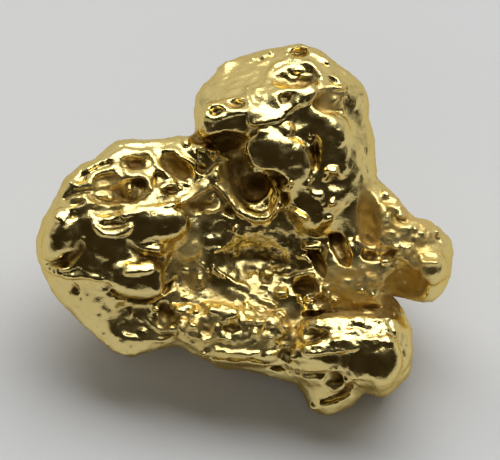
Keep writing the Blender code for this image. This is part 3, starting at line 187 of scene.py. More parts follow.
# The bowls and cavities cut last, with sharp mouths that meet in crests.
CAVITIES = {
    "under the brow": ((-0.64, 2.1, 0.5), (0.62, 0.35, 0.85), 5, 0.05),
    "throat": ((-0.3, 1.5, 0.45), (0.46, 0.85, 0.72), 14, 0.08),
    "mouth": ((0.1, 1.06, 0.45), (0.5, 0.56, 0.66), 0, 0.14),
    "under the nose": ((0.55, 1.3, 0.5), (0.45, 0.2, 0.6), -10, 0.05),
    "upper hollow": ((-3.25, 1.03, 0.75), (0.92, 0.42, 0.62), 4, 0.06, (0.0, 0.6)),
    "olive hollow": ((-2.82, 1.74, 0.3), (0.5, 0.25, 0.48), 2, 0.06, (0.0, 0.5)),
    "left recess": ((-2.65, -2.3, 0.33), (0.88, 0.5, 0.5), -12, 0.08, (0.0, 0.15), 3.0),
    "basin": ((0.2, -0.95, 0.3), (1.12, 0.68, 0.8), -12, 0.3, (0.0, -0.35)),
    "dark bowl": ((-0.88, -1.36, 0.33), (0.56, 0.42, 0.45), -38, 0.12, (0.0, 0.1), 2.6),
    "left bowl": ((-1.68, -1.28, 0.5), (0.5, 0.5, 0.55), 0, 0.25),
    "upper bowl": ((-0.75, 0.02, 0.45), (0.62, 0.42, 0.55), 10, 0.08),
    "fork bowl": ((-1.22, 0.72, 0.5), (0.42, 0.3, 0.45), 20, 0.07),
    "arm cavity": ((3.88, -1.62, 0.1), (0.62, 0.66, 0.62), -10, 0.1),
    "flank cleft": ((2.97, 0.2, 0.35), (0.32, 0.95, 0.42), 4, 0.05),
    "crown oval": ((1.1, 3.9, 0.58), (0.66, 0.36, 0.5), 0, 0.05, (0.0, -0.15), 3.0),
}

# The heel under the face, which the nugget rests on.
HEEL = ((-0.02, -1.19, -2.53), (2.4, 1.8, 1.8), 0, 0.3)

# Slopes that plane a lobe off: a point on the slope, the way it looks, the corners it stays between.
SLOPES = {
    "brow": ((0.3, 3.25, 0.85), (-0.3, 0.79, 0.6), (-1.5, 2.6, -1.5), (1.6, 4.9, 2.0)),
    "crown": ((2.2, 3.5, 0.4), (0.45, 0.6, 0.6), (1.4, 2.8, -1.5), (3.4, 4.9, 2.0)),
}
SLOPE_BLEND = 0.25

# Pits: place (x, y), radii across and up, depth, turn in degrees.
PITS = {
    # head
    "cheek scoop": (1.93, 3.2, 0.36, 0.34, 0.1, 0),
    "wing slot": (1.62, 1.8, 0.1, 0.42, 0.2, 0),
    "gullet": (0.1, 1.1, 0.36, 0.38, 0.12, 0),
    # left lobe
    "crescent bed": (-3.42, 0.14, 0.3, 0.12, 0.14, 0),
    "recess tail": (-2.1, -2.05, 0.24, 0.2, 0.2, 0),
    "belly nick": (-4.38, -1.47, 0.1, 0.1, 0.08, 30),
    "belly notch": (-3.52, -1.45, 0.1, 0.1, 0.07, 0),
    # middle
    "round hole": (1.35, -1.4, 0.34, 0.25, 0.35, 0),
    "fork pit": (-1.25, 0.6, 0.25, 0.15, 0.12, 0),
    "lip pit": (-0.5, 0.5, 0.18, 0.16, 0.12, -20),
    "bed pit": (-1.15, -2.45, 0.16, 0.14, 0.12, 0),
    "bed end pit": (0.85, -2.74, 0.14, 0.08, 0.1, 20),
    "ledge pit": (0.95, -3.1, 0.16, 0.14, 0.12, 0),
    # lower right
    "roll well": (1.45, -2.6, 0.5, 0.16, 0.2, 0),
    "roll slot": (2.7, -2.42, 0.28, 0.07, 0.07, -4),
    "foot pit": (2.65, -3.85, 0.1, 0.13, 0.12, 0),
    # right arm
    "arm root hollow": (3.0, -0.62, 0.2, 0.14, 0.15, 0),
    "arm dent": (3.45, 0.75, 0.2, 0.1, 0.08, -20),
    "arm bend": (3.42, -0.55, 0.13, 0.09, 0.09, 0),
    "temple": (2.25, 1.15, 0.36, 0.2, 0.12, 0),
    "foot facets": (2.05, -3.85, 0.32, 0.25, 0.12, 30),
    "bed": (-3.6, 0.5, 0.4, 0.17, 0.25, 0),
}
PIT_BLEND = 0.1

# Lipped hollows, deepest under their upper lip: place (x, y), radii across and up, depth, turn in degrees.
LIPPED = {
    "brown": (-3.6, 1.22, 0.36, 0.2, 0.22, 14),
    "round": (-2.78, 1.12, 0.2, 0.18, 0.2, -10),
    "cup": (-4.25, 1.22, 0.2, 0.14, 0.14, 0),
    "side": (-2.25, 1.25, 0.16, 0.2, 0.16, 10),
    "slanted": (-1.84, 1.55, 0.5, 0.28, 0.35, -36),
    "arch": (-1.95, 0.98, 0.22, 0.12, 0.12, 0),
    "ring": (-0.8, 3.0, 0.2, 0.12, 0.12, 0),
    "long": (-0.38, 3.14, 0.26, 0.14, 0.15, -12),
    "top": (1.2, 4.45, 0.3, 0.11, 0.2, 0),
    "diamond": (0.9, 3.25, 0.22, 0.17, 0.18, 0),
    "plateau": (-0.55, -2.5, 0.4, 0.16, 0.14, 0),
    "hole teeth": (1.6, -1.75, 0.4, 0.14, 0.14, 0),
    "arm": (3.75, 0.25, 0.3, 0.16, 0.15, -35),
    "arm below": (3.5, -0.65, 0.3, 0.16, 0.15, 20),
}
LIP_LEAN = -0.5                      # how far a lipped hollow's floor leans for each millimetre up the face
LIP_BLEND = 0.05

# Creases: depth, blend, and the points they run through (x, y, radius).
CREASES = {
    "knuckle gap": (0.08, 0.08, ((-5.05, -0.88, 0.04), (-4.7, -0.82, 0.08), (-4.35, -0.58, 0.08),
        (-4.15, -0.25, 0.06))),
    "neck": (0.25, 0.1, ((-1.45, 2.4, 0.1), (-1.2, 2.2, 0.12), (-0.95, 2.15, 0.1))),
    "bulge crease": (0.16, 0.08, ((-3.5, -1.5, 0.04), (-3.1, -1.7, 0.07), (-2.65, -1.77, 0.08),
        (-2.2, -1.6, 0.07), (-1.95, -1.25, 0.05))),
    "upper crease": (0.1, 0.08, ((-4.65, 0.8, 0.05), (-4.35, 0.93, 0.06), (-3.95, 1.0, 0.05))),
    "roll crease": (0.14, 0.08, ((1.0, -3.55, 0.07), (1.6, -3.6, 0.08), (2.25, -3.62, 0.08),
        (2.62, -3.92, 0.08))),
    "ledge crease": (0.18, 0.05, ((-0.95, -3.15, 0.04), (-0.3, -3.18, 0.06), (0.25, -3.25, 0.06),
        (0.85, -3.45, 0.06))),
    "bulge split": (0.05, 0.08, ((-3.1, -0.3, 0.06), (-2.7, -0.65, 0.08), (-2.2, -0.7, 0.07))),
    "brow rim": (0.12, 0.05, ((-4.2, 1.35, 0.05), (-4.0, 1.45, 0.06), (-3.75, 1.6, 0.06),
        (-3.45, 1.66, 0.06))),
    "foot slit": (0.22, 0.05, ((1.75, -4.3, 0.06), (2.0, -4.24, 0.1), (2.3, -4.08, 0.1),
        (2.52, -3.85, 0.08))),
    "roll top": (0.14, 0.08, ((1.35, -2.12, 0.06), (2.0, -2.03, 0.08), (2.8, -1.99, 0.08),
        (3.3, -1.95, 0.06))),
}

# Knobs: place (x, y), radii across and up, how far they stand out, turn in degrees.
KNOBS = {
    "oval bump": (1.2, 3.98, 0.17, 0.1, 0.12, 0),
    "second brow": (0.93, 2.5, 0.16, 0.14, 0.14, 0),
    "left blob": (-3.05, 1.05, 0.12, 0.2, 0.08, 10),
    "pale bump": (-3.7, 0.85, 0.3, 0.14, 0.08, 5),
    "saddle": (-1.55, -0.5, 0.32, 0.28, 0.14, 0),
    "rim blob": (0.8, -1.58, 0.17, 0.13, 0.12, 0),
    "basin crumbs": (0.55, -1.02, 0.24, 0.12, 0.1, 0),
    "basin tooth": (0.93, -0.97, 0.12, 0.08, 0.09, 10),
    "hole tooth": (1.28, -1.75, 0.1, 0.18, 0.1, 25),
    "basin facet": (-1.25, -1.32, 0.11, 0.15, 0.1, 0),
    "plateau": (-0.65, -2.12, 0.38, 0.22, 0.14, 5),
    "plateau foot": (-0.82, -2.5, 0.14, 0.2, 0.1, 0),
    "bed lump": (-1.72, -2.0, 0.24, 0.13, 0.09, -8),
    "bed bead": (-1.88, -2.45, 0.13, 0.11, 0.1, -20),
    "bed button": (-1.42, -2.4, 0.16, 0.1, 0.09, -15),
    "bed step": (0.08, -2.28, 0.24, 0.07, 0.08, 0),
    "bed crumb": (0.64, -2.36, 0.13, 0.1, 0.07, 20),
    "foot knob": (1.62, -4.4, 0.13, 0.12, 0.08, 0),
    "foot facet": (2.1, -3.9, 0.18, 0.15, 0.08, 0),
    "arm step": (3.45, -0.78, 0.14, 0.1, 0.1, 15),
    "arm cross": (3.85, -0.55, 0.22, 0.1, 0.1, 30),
}
KNOB_BLEND = 0.08

# Ridges and bright lips: how far they stand out, and the points they run through (x, y, radius).
RIDGES = {
    "step": (0.06, ((-4.98, -0.98, 0.12), (-4.6, -1.05, 0.15), (-4.15, -1.08, 0.15),
        (-3.7, -1.15, 0.14))),
    # head
    "brow shoulder": (0.05, ((-1.08, 2.84, 0.08), (-0.85, 2.8, 0.09), (-0.55, 2.9, 0.09),
        (-0.25, 2.96, 0.1), (0.05, 2.95, 0.13), (0.3, 2.88, 0.16), (0.55, 2.8, 0.16),
        (0.85, 3.02, 0.14), (1.15, 3.17, 0.13), (1.45, 3.28, 0.13), (1.65, 3.48, 0.1),
        (2.0, 3.57, 0.09), (2.4, 3.52, 0.08))),
    "top oval rim": (0.04, ((0.15, 3.5, 0.04), (0.36, 3.56, 0.05), (0.43, 3.72, 0.05),
        (0.47, 3.92, 0.05), (0.62, 4.1, 0.05), (0.92, 4.22, 0.05), (1.25, 4.24, 0.04),
        (1.52, 4.17, 0.05), (1.7, 4.0, 0.05), (1.75, 3.88, 0.04))),
    "cheek crescent": (0.06, ((2.25, 3.12, 0.05), (2.3, 2.95, 0.06), (2.2, 2.85, 0.06),
        (2.03, 2.86, 0.06))),
    "nose bridge": (0.05, ((1.42, 2.0, 0.07), (1.58, 1.65, 0.08), (1.53, 1.35, 0.08), (1.4, 1.15, 0.06),
        (1.55, 0.92, 0.07), (1.75, 0.85, 0.07), (1.9, 0.6, 0.06))),
    "nose crescent": (0.06, ((1.33, 2.08, 0.05), (1.47, 2.12, 0.07), (1.56, 2.25, 0.06),
        (1.5, 2.33, 0.05))),
    "hole lip": (0.18, ((-0.83, 1.55, 0.12), (-0.85, 1.3, 0.16), (-0.62, 1.02, 0.17),
        (-0.42, 0.78, 0.17), (-0.22, 0.52, 0.16), (0.02, 0.38, 0.14), (0.3, 0.34, 0.14),
        (0.54, 0.45, 0.13), (0.64, 0.72, 0.12))),
    "well rim": (0.06, ((0.66, 0.9, 0.08), (0.75, 0.7, 0.09), (0.92, 0.58, 0.08), (1.15, 0.48, 0.07),
        (1.4, 0.33, 0.06))),
    "well bridge": (0.07, ((0.7, 0.88, 0.07), (0.86, 1.02, 0.07), (1.02, 1.2, 0.06))),
    # left lobe
    "olive rim": (0.05, ((-3.4, 1.87, 0.05), (-3.15, 1.99, 0.06), (-2.85, 1.99, 0.05),
        (-2.55, 1.96, 0.05), (-2.38, 1.83, 0.05))),
    "slanted rim": (0.06, ((-2.15, 2.0, 0.05), (-1.9, 2.0, 0.08), (-1.75, 1.88, 0.07),
        (-1.55, 1.76, 0.07), (-1.38, 1.65, 0.08), (-1.28, 1.42, 0.06))),
    "slanted lip": (0.05, ((-2.5, 1.95, 0.05), (-2.4, 1.75, 0.06), (-2.28, 1.55, 0.06),
        (-2.1, 1.4, 0.06), (-1.88, 1.27, 0.06), (-1.62, 1.17, 0.05))),
    "zigzag": (0.06, ((-4.0, 1.2, 0.06), (-3.9, 1.4, 0.06), (-3.65, 1.46, 0.06), (-3.45, 1.52, 0.06),
        (-3.28, 1.64, 0.06), (-3.12, 1.58, 0.06), (-3.03, 1.4, 0.06), (-2.8, 1.35, 0.06),
        (-2.58, 1.3, 0.06), (-2.48, 1.05, 0.06))),
    "left crescent": (0.05, ((-4.57, 1.3, 0.06), (-4.45, 1.15, 0.07), (-4.22, 1.08, 0.08),
        (-4.05, 1.15, 0.07))),
    "arch": (0.05, ((-2.28, 1.0, 0.04), (-2.05, 1.14, 0.05), (-1.9, 1.17, 0.05), (-1.78, 1.05, 0.05),
        (-1.62, 0.98, 0.04))),
    "diagonal": (0.14, ((-1.85, 0.7, 0.1), (-1.5, 0.88, 0.12), (-1.3, 1.05, 0.15), (-1.05, 1.22, 0.16),
        (-0.82, 1.3, 0.15))),
    "bulge edge": (0.07, ((-3.1, 0.38, 0.08), (-2.85, 0.48, 0.1), (-2.5, 0.55, 0.1), (-2.2, 0.58, 0.1),
        (-1.9, 0.62, 0.08), (-1.65, 0.7, 0.07))),
    "big crescent": (0.08, ((-3.88, 0.15, 0.06), (-3.72, -0.02, 0.09), (-3.42, -0.08, 0.1),
        (-3.12, -0.04, 0.1), (-2.98, 0.1, 0.08))),
    "knuckle edge": (0.04, ((-4.8, 0.42, 0.1), (-4.55, 0.5, 0.1), (-4.25, 0.53, 0.07),
        (-4.05, 0.65, 0.06), (-4.12, 0.8, 0.05), (-4.4, 0.78, 0.05))),
    "recess bar": (0.05, ((-2.55, -2.25, 0.04), (-2.3, -2.42, 0.05), (-2.0, -2.5, 0.06),
        (-1.8, -2.45, 0.07))),
    # middle
    "basin brow": (0.05, ((-1.05, -0.5, 0.04), (-0.7, -0.42, 0.05), (-0.45, -0.2, 0.05),
        (-0.35, 0.1, 0.05))),
    "saddle line": (0.05, ((-1.4, -0.65, 0.05), (-1.2, -0.85, 0.05), (-1.08, -0.97, 0.04))),
    "bead line": (0.06, ((-0.92, -0.88, 0.05), (-0.75, -1.05, 0.05), (-0.55, -1.2, 0.045),
        (-0.3, -1.35, 0.05), (-0.05, -1.47, 0.05), (0.07, -1.6, 0.06), (0.22, -1.65, 0.06),
        (0.35, -1.62, 0.06))),
    "bead tail": (0.06, ((0.2, -1.72, 0.05), (0.38, -1.8, 0.06), (0.6, -1.86, 0.07))),
    "bed brow": (0.05, ((-1.15, -1.82, 0.05), (-0.8, -1.9, 0.07), (-0.45, -1.92, 0.06))),
    "hole rim": (0.06, ((0.88, -1.45, 0.06), (0.93, -1.28, 0.06), (1.08, -1.16, 0.06),
        (1.3, -1.11, 0.05), (1.6, -1.07, 0.05), (1.68, -1.2, 0.05), (1.77, -1.35, 0.05),
        (1.75, -1.6, 0.05))),
    "basin arch": (0.05, ((1.25, -0.65, 0.05), (1.5, -0.75, 0.05), (1.66, -0.95, 0.05))),
    "ledge lip": (0.06, ((-0.82, -3.0, 0.04), (-0.5, -3.06, 0.05), (-0.2, -3.08, 0.05),
        (0.0, -3.13, 0.05), (0.2, -3.07, 0.05))),
    "ledge lip end": (0.06, ((0.45, -3.1, 0.05), (0.65, -3.06, 0.06), (0.8, -2.96, 0.05),
        (0.95, -2.88, 0.05))),
    # lower right
    "roll upper": (0.04, ((1.1, -2.36, 0.06), (1.5, -2.3, 0.07), (2.1, -2.22, 0.08), (2.8, -2.24, 0.07),
        (3.4, -2.22, 0.07), (3.55, -2.1, 0.06))),
    "roll lower": (0.05, ((1.35, -3.0, 0.06), (1.8, -2.93, 0.08), (2.1, -2.78, 0.09),
        (2.5, -2.75, 0.09), (2.95, -2.72, 0.09), (3.3, -2.76, 0.08), (3.62, -2.85, 0.07))),
    "roll corner": (0.05, ((3.35, -1.98, 0.05), (3.5, -2.1, 0.06), (3.6, -2.4, 0.06),
        (3.64, -2.8, 0.06))),
    # right arm
    "arm top": (0.05, ((3.35, 0.93, 0.05), (3.5, 0.97, 0.06), (3.65, 0.8, 0.06))),
    "arm brow": (0.06, ((4.12, 0.17, 0.05), (4.35, 0.05, 0.06), (4.55, -0.07, 0.06),
        (4.72, 0.02, 0.05))),
    "arm crescent": (0.07, ((2.65, -0.22, 0.05), (2.8, -0.37, 0.07), (2.95, -0.43, 0.07),
        (3.1, -0.38, 0.06))),
    "ball lip": (0.03, ((4.22, -0.62, 0.05), (4.3, -0.77, 0.06), (4.5, -0.8, 0.06), (4.68, -0.78, 0.06),
        (4.74, -0.62, 0.05))),
}
RIDGE_BLEND = 0.04
BEAD_DEPTH = 1.6                     # a ridge's beads: their depth in radii,
BEAD_REACH = 0.05                    # how far along it they reach, beside half a radius,
BEAD_SQUARE = 3.0                    # how square their sections are,
BEAD_RISE = -0.5                     # how far their fronts rise for each millimetre up the face,
BEAD_ASLANT = 0.3                    # and what limits it where the ridge runs up the face

# The hidden side: spacing, radius range, rise range (hollows under zero), blend, share kept, seed.
BACK_RELIEF = {
    "lobes": (1.3, (0.65, 1.0), (0.15, 0.32), 0.25, 0.85, 3),
    "hollows": (0.9, (0.35, 0.7), (-0.32, -0.15), 0.15, 0.75, 5),
    "knobs": (0.75, (0.25, 0.45), (0.06, 0.14), 0.15, 0.5, 8),
}

# Waves all over the skin: length, reach, seed.
WAVES = {
    "broad": (1.3, 0.2, 21),
    "middle": (0.62, 0.12, 22),
}
WAVES_IN_FRONT = 0.3                 # the share of their reach that the waves keep on the broad face
WAVES_FADE = (-1.6, -0.9)            # the depths between which they fade to it


# Fine pits of each area: place (x, y), radii across and up, depth, turn in degrees.
FINE_PITS = {
    "head": (
        (-0.87, 2.96, 0.13, 0.09, 0.1, 0), (-0.38, 3.17, 0.24, 0.13, 0.1, -12),
        (1.2, 4.47, 0.26, 0.09, 0.1, 0), (1.9, 4.14, 0.09, 0.05, 0.05, -35),
        (2.1, 3.72, 0.14, 0.06, 0.05, -25), (-0.55, 3.8, 0.12, 0.05, 0.03, 15),
        (0.55, 4.38, 0.08, 0.04, 0.04, 0), (0.22, 4.25, 0.14, 0.04, 0.04, 0),
        (2.42, 3.1, 0.08, 0.2, 0.07, 15), (2.92, 2.8, 0.03, 0.14, 0.03, 15),
        (3.02, 2.1, 0.03, 0.1, 0.03, 0), (2.83, 1.4, 0.03, 0.04, 0.03, 0),
        (-1.15, 2.25, 0.18, 0.07, 0.08, 10), (2.1, 1.33, 0.12, 0.08, 0.08, 0)),
    "left lobe": (
        (-1.95, 0.98, 0.14, 0.08, 0.07, 0), (-4.32, 0.67, 0.2, 0.07, 0.07, 8),
        (-4.4, 0.38, 0.12, 0.1, 0.08, 20), (-4.3, -1.5, 0.08, 0.05, 0.05, -40),
        (-4.2, -1.7, 0.04, 0.08, 0.05, 0), (-3.78, -2.07, 0.1, 0.04, 0.05, 0),
        (-3.65, -2.55, 0.04, 0.04, 0.04, 0), (-3.62, -1.8, 0.05, 0.03, 0.03, 0),
        (-3.85, -2.4, 0.12, 0.03, 0.03, -25)),
    "fork": (
        (-1.0, 1.05, 0.06, 0.12, 0.1, -10), (-1.05, 0.62, 0.12, 0.06, 0.06, 15),
        (-1.2, 1.55, 0.16, 0.12, 0.1, 0)),
    "crumb bed": (
        (-0.1, -2.08, 0.1, 0.06, 0.08, 0), (0.0, -2.65, 0.04, 0.16, 0.06, 0),
        (-0.62, -2.3, 0.12, 0.04, 0.06, 0), (0.28, -2.12, 0.1, 0.05, 0.06, 0),
        (-1.6, -2.15, 0.12, 0.05, 0.07, 0), (-1.55, -2.8, 0.18, 0.1, 0.08, 0),
        (-0.35, -2.4, 0.14, 0.06, 0.07, 0), (-0.9, -2.85, 0.2, 0.07, 0.07, 0),
        (0.35, -2.48, 0.12, 0.06, 0.08, -25), (-2.1, -2.62, 0.2, 0.08, 0.12, 0),
        (0.6, -3.45, 0.2, 0.05, 0.08, 0)),
    "roll and foot": (
        (2.35, -2.93, 0.16, 0.03, 0.03, 0), (1.6, -2.95, 0.12, 0.03, 0.04, 0),
        (3.93, -2.7, 0.03, 0.03, 0.03, 0), (3.9, -2.85, 0.04, 0.04, 0.03, 0),
        (3.83, -3.07, 0.06, 0.03, 0.03, 20), (2.2, -3.72, 0.16, 0.06, 0.08, 15)),
    "arm": (
        (3.52, 0.5, 0.15, 0.1, 0.07, 0), (4.47, -0.62, 0.16, 0.06, 0.05, 0),
        (4.75, -0.25, 0.2, 0.1, 0.06, -30)),
}
FINE_PIT_BLEND = 0.04

# Short clefts: depth, blend, then points (x, y, radius).
FINE_CREASES = {
    "reddish cleft": (0.26, 0.14, ((2.08, -0.1, 0.08), (2.24, -0.4, 0.15), (2.38, -0.7, 0.13),
        (2.46, -0.9, 0.06))),
    "dark channel": (0.24, 0.1, ((1.52, -0.52, 0.08), (1.68, -0.72, 0.13), (1.86, -1.0, 0.11),
        (1.95, -1.2, 0.05))),
    "over the roll": (0.12, 0.04, ((1.5, -2.1, 0.05), (2.1, -2.06, 0.06), (2.8, -2.05, 0.06),
        (3.3, -2.08, 0.05))),
}

# Crumbs of each area: place (x, y), radii across and up, how far they stand out, turn in degrees.
CRUMBS = {
    "crown": (
        (0.5, 4.45, 0.06, 0.06, 0.05, 0), (0.3, 4.37, 0.09, 0.06, 0.04, 0),
        (0.08, 4.33, 0.08, 0.05, 0.03, 0), (-0.1, 4.17, 0.05, 0.06, 0.03, 0),
        (-0.43, 3.48, 0.03, 0.04, 0.02, 0), (0.12, 3.63, 0.04, 0.03, 0.02, 0),
        (1.33, 4.58, 0.07, 0.05, 0.04, 0), (0.95, 4.38, 0.1, 0.04, 0.03, 0),
        (1.52, 4.05, 0.07, 0.06, 0.05, 0), (-0.2, 3.28, 0.06, 0.05, 0.04, 0)),
    "left lobe": (
        (-2.57, 1.66, 0.08, 0.07, 0.07, 0), (-1.53, 1.27, 0.07, 0.06, 0.05, 0),
        (-2.1, 0.1, 0.06, 0.04, 0.03, 0), (-1.58, 2.2, 0.09, 0.12, 0.07, 15),
        (-1.2, 2.03, 0.1, 0.04, 0.05, 0), (-0.8, 1.95, 0.07, 0.06, 0.06, 0),
        (-0.65, 1.75, 0.14, 0.04, 0.06, -3), (-3.15, 0.32, 0.09, 0.07, 0.05, 0),
        (-3.55, 0.25, 0.1, 0.07, 0.05, 0), (-4.1, -0.3, 0.07, 0.05, 0.02, 30),
        (-3.1, 0.35, 0.06, 0.05, 0.03, 0)),
    "basin": (
        (0.45, -1.06, 0.12, 0.08, 0.1, 0), (0.66, -1.04, 0.09, 0.08, 0.1, 0),
        (0.78, -1.2, 0.1, 0.07, 0.08, 20), (0.3, -0.92, 0.08, 0.08, 0.07, 0),
        (0.57, -0.8, 0.1, 0.1, 0.09, 0), (0.35, -1.22, 0.12, 0.05, 0.06, 10),
        (0.02, -1.12, 0.09, 0.07, 0.06, 0), (0.85, -0.4, 0.1, 0.06, 0.04, 0),
        (-0.35, -0.55, 0.07, 0.06, 0.04, 0)),
    "crumb bed": (
        (-1.92, -1.9, 0.08, 0.07, 0.07, 0), (-1.6, -1.7, 0.12, 0.07, 0.07, -20),
        (-1.35, -2.02, 0.11, 0.05, 0.07, 0), (-1.3, -2.46, 0.07, 0.07, 0.07, 0),
        (-1.18, -2.2, 0.09, 0.04, 0.05, 0), (-1.45, -2.62, 0.1, 0.09, 0.07, 0),
        (-1.08, -2.7, 0.1, 0.08, 0.07, 0), (-1.12, -3.07, 0.06, 0.11, 0.06, 40),
        (-0.4, -2.2, 0.14, 0.1, 0.1, 0), (-0.8, -2.4, 0.12, 0.09, 0.08, 0),
        (-1.0, -1.86, 0.14, 0.06, 0.07, -10), (-0.05, -2.25, 0.1, 0.06, 0.08, 0),
        (-0.1, -1.9, 0.05, 0.1, 0.06, 25), (0.12, -2.55, 0.1, 0.12, 0.07, 0),
        (-0.4, -2.8, 0.08, 0.06, 0.06, 0), (0.1, -2.8, 0.05, 0.1, 0.06, 0),
        (0.56, -2.25, 0.06, 0.06, 0.05, 0), (0.55, -2.48, 0.08, 0.05, 0.05, 0),
        (0.8, -2.1, 0.13, 0.06, 0.08, -32), (0.55, -2.72, 0.06, 0.05, 0.05, 0),
        (-0.35, -1.83, 0.08, 0.07, 0.05, 0), (-0.1, -2.45, 0.1, 0.06, 0.06, 0),
        (-0.55, -2.5, 0.1, 0.08, 0.05, -30), (0.3, -2.0, 0.1, 0.06, 0.05, 0),
        (0.7, -2.87, 0.06, 0.05, 0.05, 0), (1.08, -3.17, 0.1, 0.08, 0.08, 0),
        (0.6, -3.33, 0.2, 0.05, 0.07, 0), (-2.28, -2.77, 0.09, 0.05, 0.05, 0),
        (-2.36, -1.98, 0.12, 0.05, 0.07, 5), (-2.72, -2.5, 0.08, 0.07, 0.06, 30),
        (-3.05, -2.1, 0.09, 0.12, 0.05, 0), (-0.6, -1.95, 0.1, 0.06, 0.05, 0),
        (-0.45, -2.62, 0.1, 0.05, 0.04, -30)),
    "round hole": (
        (1.36, -1.85, 0.08, 0.08, 0.08, 0), (1.57, -1.8, 0.06, 0.09, 0.07, -20),
        (1.2, -1.92, 0.04, 0.09, 0.05, 15), (1.9, -1.4, 0.1, 0.05, 0.05, 0),
        (1.9, -1.68, 0.04, 0.1, 0.05, 15), (1.7, -1.96, 0.12, 0.04, 0.04, 3),
        (2.1, -1.72, 0.1, 0.07, 0.05, 0), (1.75, -1.55, 0.05, 0.1, 0.05, 0),
        (2.25, -1.93, 0.1, 0.03, 0.03, 0)),
    "cheek": (
        (1.95, 0.28, 0.12, 0.08, 0.08, 10), (1.78, 0.88, 0.08, 0.09, 0.06, 0),
        (2.33, 1.52, 0.06, 0.1, 0.06, -30), (1.88, 1.35, 0.06, 0.14, 0.06, -35),
        (2.2, 2.12, 0.08, 0.05, 0.03, 30), (2.1, 3.22, 0.1, 0.06, 0.05, 40),
        (1.35, 0.38, 0.06, 0.05, 0.04, 0), (1.38, 0.3, 0.05, 0.04, 0.03, 0)),
    "arm": (
        (3.55, -0.93, 0.06, 0.05, 0.05, 0), (3.6, -0.42, 0.06, 0.06, 0.05, 0),
        (3.76, -1.05, 0.04, 0.1, 0.05, 0), (3.85, -1.25, 0.08, 0.04, 0.03, -40),
        (3.68, 0.52, 0.12, 0.05, 0.05, 30), (3.8, 0.37, 0.12, 0.05, 0.06, -10),
        (3.82, 0.65, 0.05, 0.06, 0.04, 0), (3.4, 0.4, 0.15, 0.04, 0.04, 0),
        (2.78, -0.97, 0.08, 0.05, 0.04, 0), (2.4, -1.25, 0.1, 0.05, 0.05, -15),
        (2.78, -1.5, 0.08, 0.05, 0.04, 0), (3.0, -1.62, 0.16, 0.03, 0.05, -38),
        (3.1, -1.52, 0.14, 0.03, 0.04, -38), (4.0, -0.5, 0.08, 0.07, 0.06, 0)),
}
CRUMB_BLEND = 0.05

# Fine ridges: how far they stand out, and the points they run through (x, y, radius).
FINE_RIDGES = {
    "spike": (0.07, ((-0.05, 3.52, 0.05), (-0.03, 3.2, 0.06))),
    "ring": (0.05, ((-1.0, 3.05, 0.04), (-0.88, 3.12, 0.05), (-0.72, 3.1, 0.05), (-0.6, 3.02, 0.05))),
    "ring brow": (0.03, ((-0.95, 3.2, 0.03), (-0.8, 3.28, 0.035), (-0.65, 3.29, 0.03))),
    "oval crescent": (0.05, ((0.85, 3.95, 0.05), (0.98, 3.84, 0.05), (1.17, 3.78, 0.05),
        (1.32, 3.85, 0.045), (1.5, 3.83, 0.04))),
    "first crest": (0.04, ((1.5, 4.5, 0.03), (1.62, 4.45, 0.04), (1.68, 4.38, 0.04))),
    "second crest": (0.04, ((1.78, 4.3, 0.04), (1.9, 4.25, 0.05), (2.05, 4.15, 0.045))),
    "third crest": (0.04, ((1.93, 3.85, 0.035), (2.1, 3.81, 0.045), (2.25, 3.7, 0.045),
        (2.36, 3.6, 0.045))),
    "fourth crest": (0.03, ((2.22, 4.08, 0.03), (2.4, 3.93, 0.03))),
    "lobe edge start": (0.03, ((-3.4, 2.15, 0.03), (-3.38, 2.02, 0.03))),
    "lobe edge": (0.03, ((-3.25, 2.13, 0.03), (-2.95, 2.15, 0.03), (-2.6, 2.15, 0.035),
        (-2.4, 2.2, 0.03))),
    "lobe edge left": (0.04, ((-4.02, 1.54, 0.04), (-3.87, 1.63, 0.045))),
    "lobe edge middle": (0.03, ((-3.75, 1.7, 0.03), (-3.5, 1.8, 0.035))),
    "left crest": (0.04, ((-4.42, 1.42, 0.04), (-4.27, 1.48, 0.045))),
    "faint line": (0.03, ((-2.9, 0.83, 0.03), (-2.5, 0.85, 0.04), (-2.15, 0.88, 0.03))),
    "slit lip": (0.04, ((-4.78, -0.97, 0.03), (-4.5, -0.96, 0.035), (-4.28, -0.86, 0.035),
        (-4.12, -1.03, 0.03))),
    "fork stem": (0.06, ((-0.83, 1.55, 0.05), (-0.87, 1.35, 0.08))),
    "fork left": (0.05, ((-1.22, 1.37, 0.04), (-1.0, 1.35, 0.06))),
    "fork cup": (0.05, ((-1.2, 0.5, 0.04), (-1.0, 0.48, 0.06), (-0.82, 0.57, 0.06),
        (-0.78, 0.72, 0.05))),
    "fork crumb": (0.04, ((-1.02, 0.78, 0.06), (-0.88, 0.9, 0.05))),
    "throat line": (0.03, ((-1.0, 2.4, 0.03), (-0.75, 2.45, 0.03), (-0.6, 2.5, 0.03),
        (-0.2, 2.45, 0.03))),
    "jaw": (0.03, ((-0.1, 2.1, 0.04), (-0.08, 1.85, 0.05), (0.12, 1.5, 0.05))),
    "basin line": (0.03, ((-0.95, -0.55, 0.04), (-0.9, -0.75, 0.03))),
    "bulge tail": (0.03, ((-3.75, -1.55, 0.03), (-3.4, -1.45, 0.03))),
    "web stem": (0.12, ((0.6, 0.45, 0.07), (0.74, 0.66, 0.1), (0.72, 0.92, 0.09), (0.64, 1.15, 0.07))),
    "web branch": (0.12, ((0.74, 0.7, 0.09), (0.95, 0.56, 0.09), (1.16, 0.45, 0.07),
        (1.38, 0.31, 0.06))),
    "roll crest": (0.05, ((1.95, -2.02, 0.04), (2.4, -2.0, 0.04), (2.9, -1.99, 0.05),
        (3.3, -2.02, 0.05))),
}
FINE_RIDGE_BLEND = 0.03

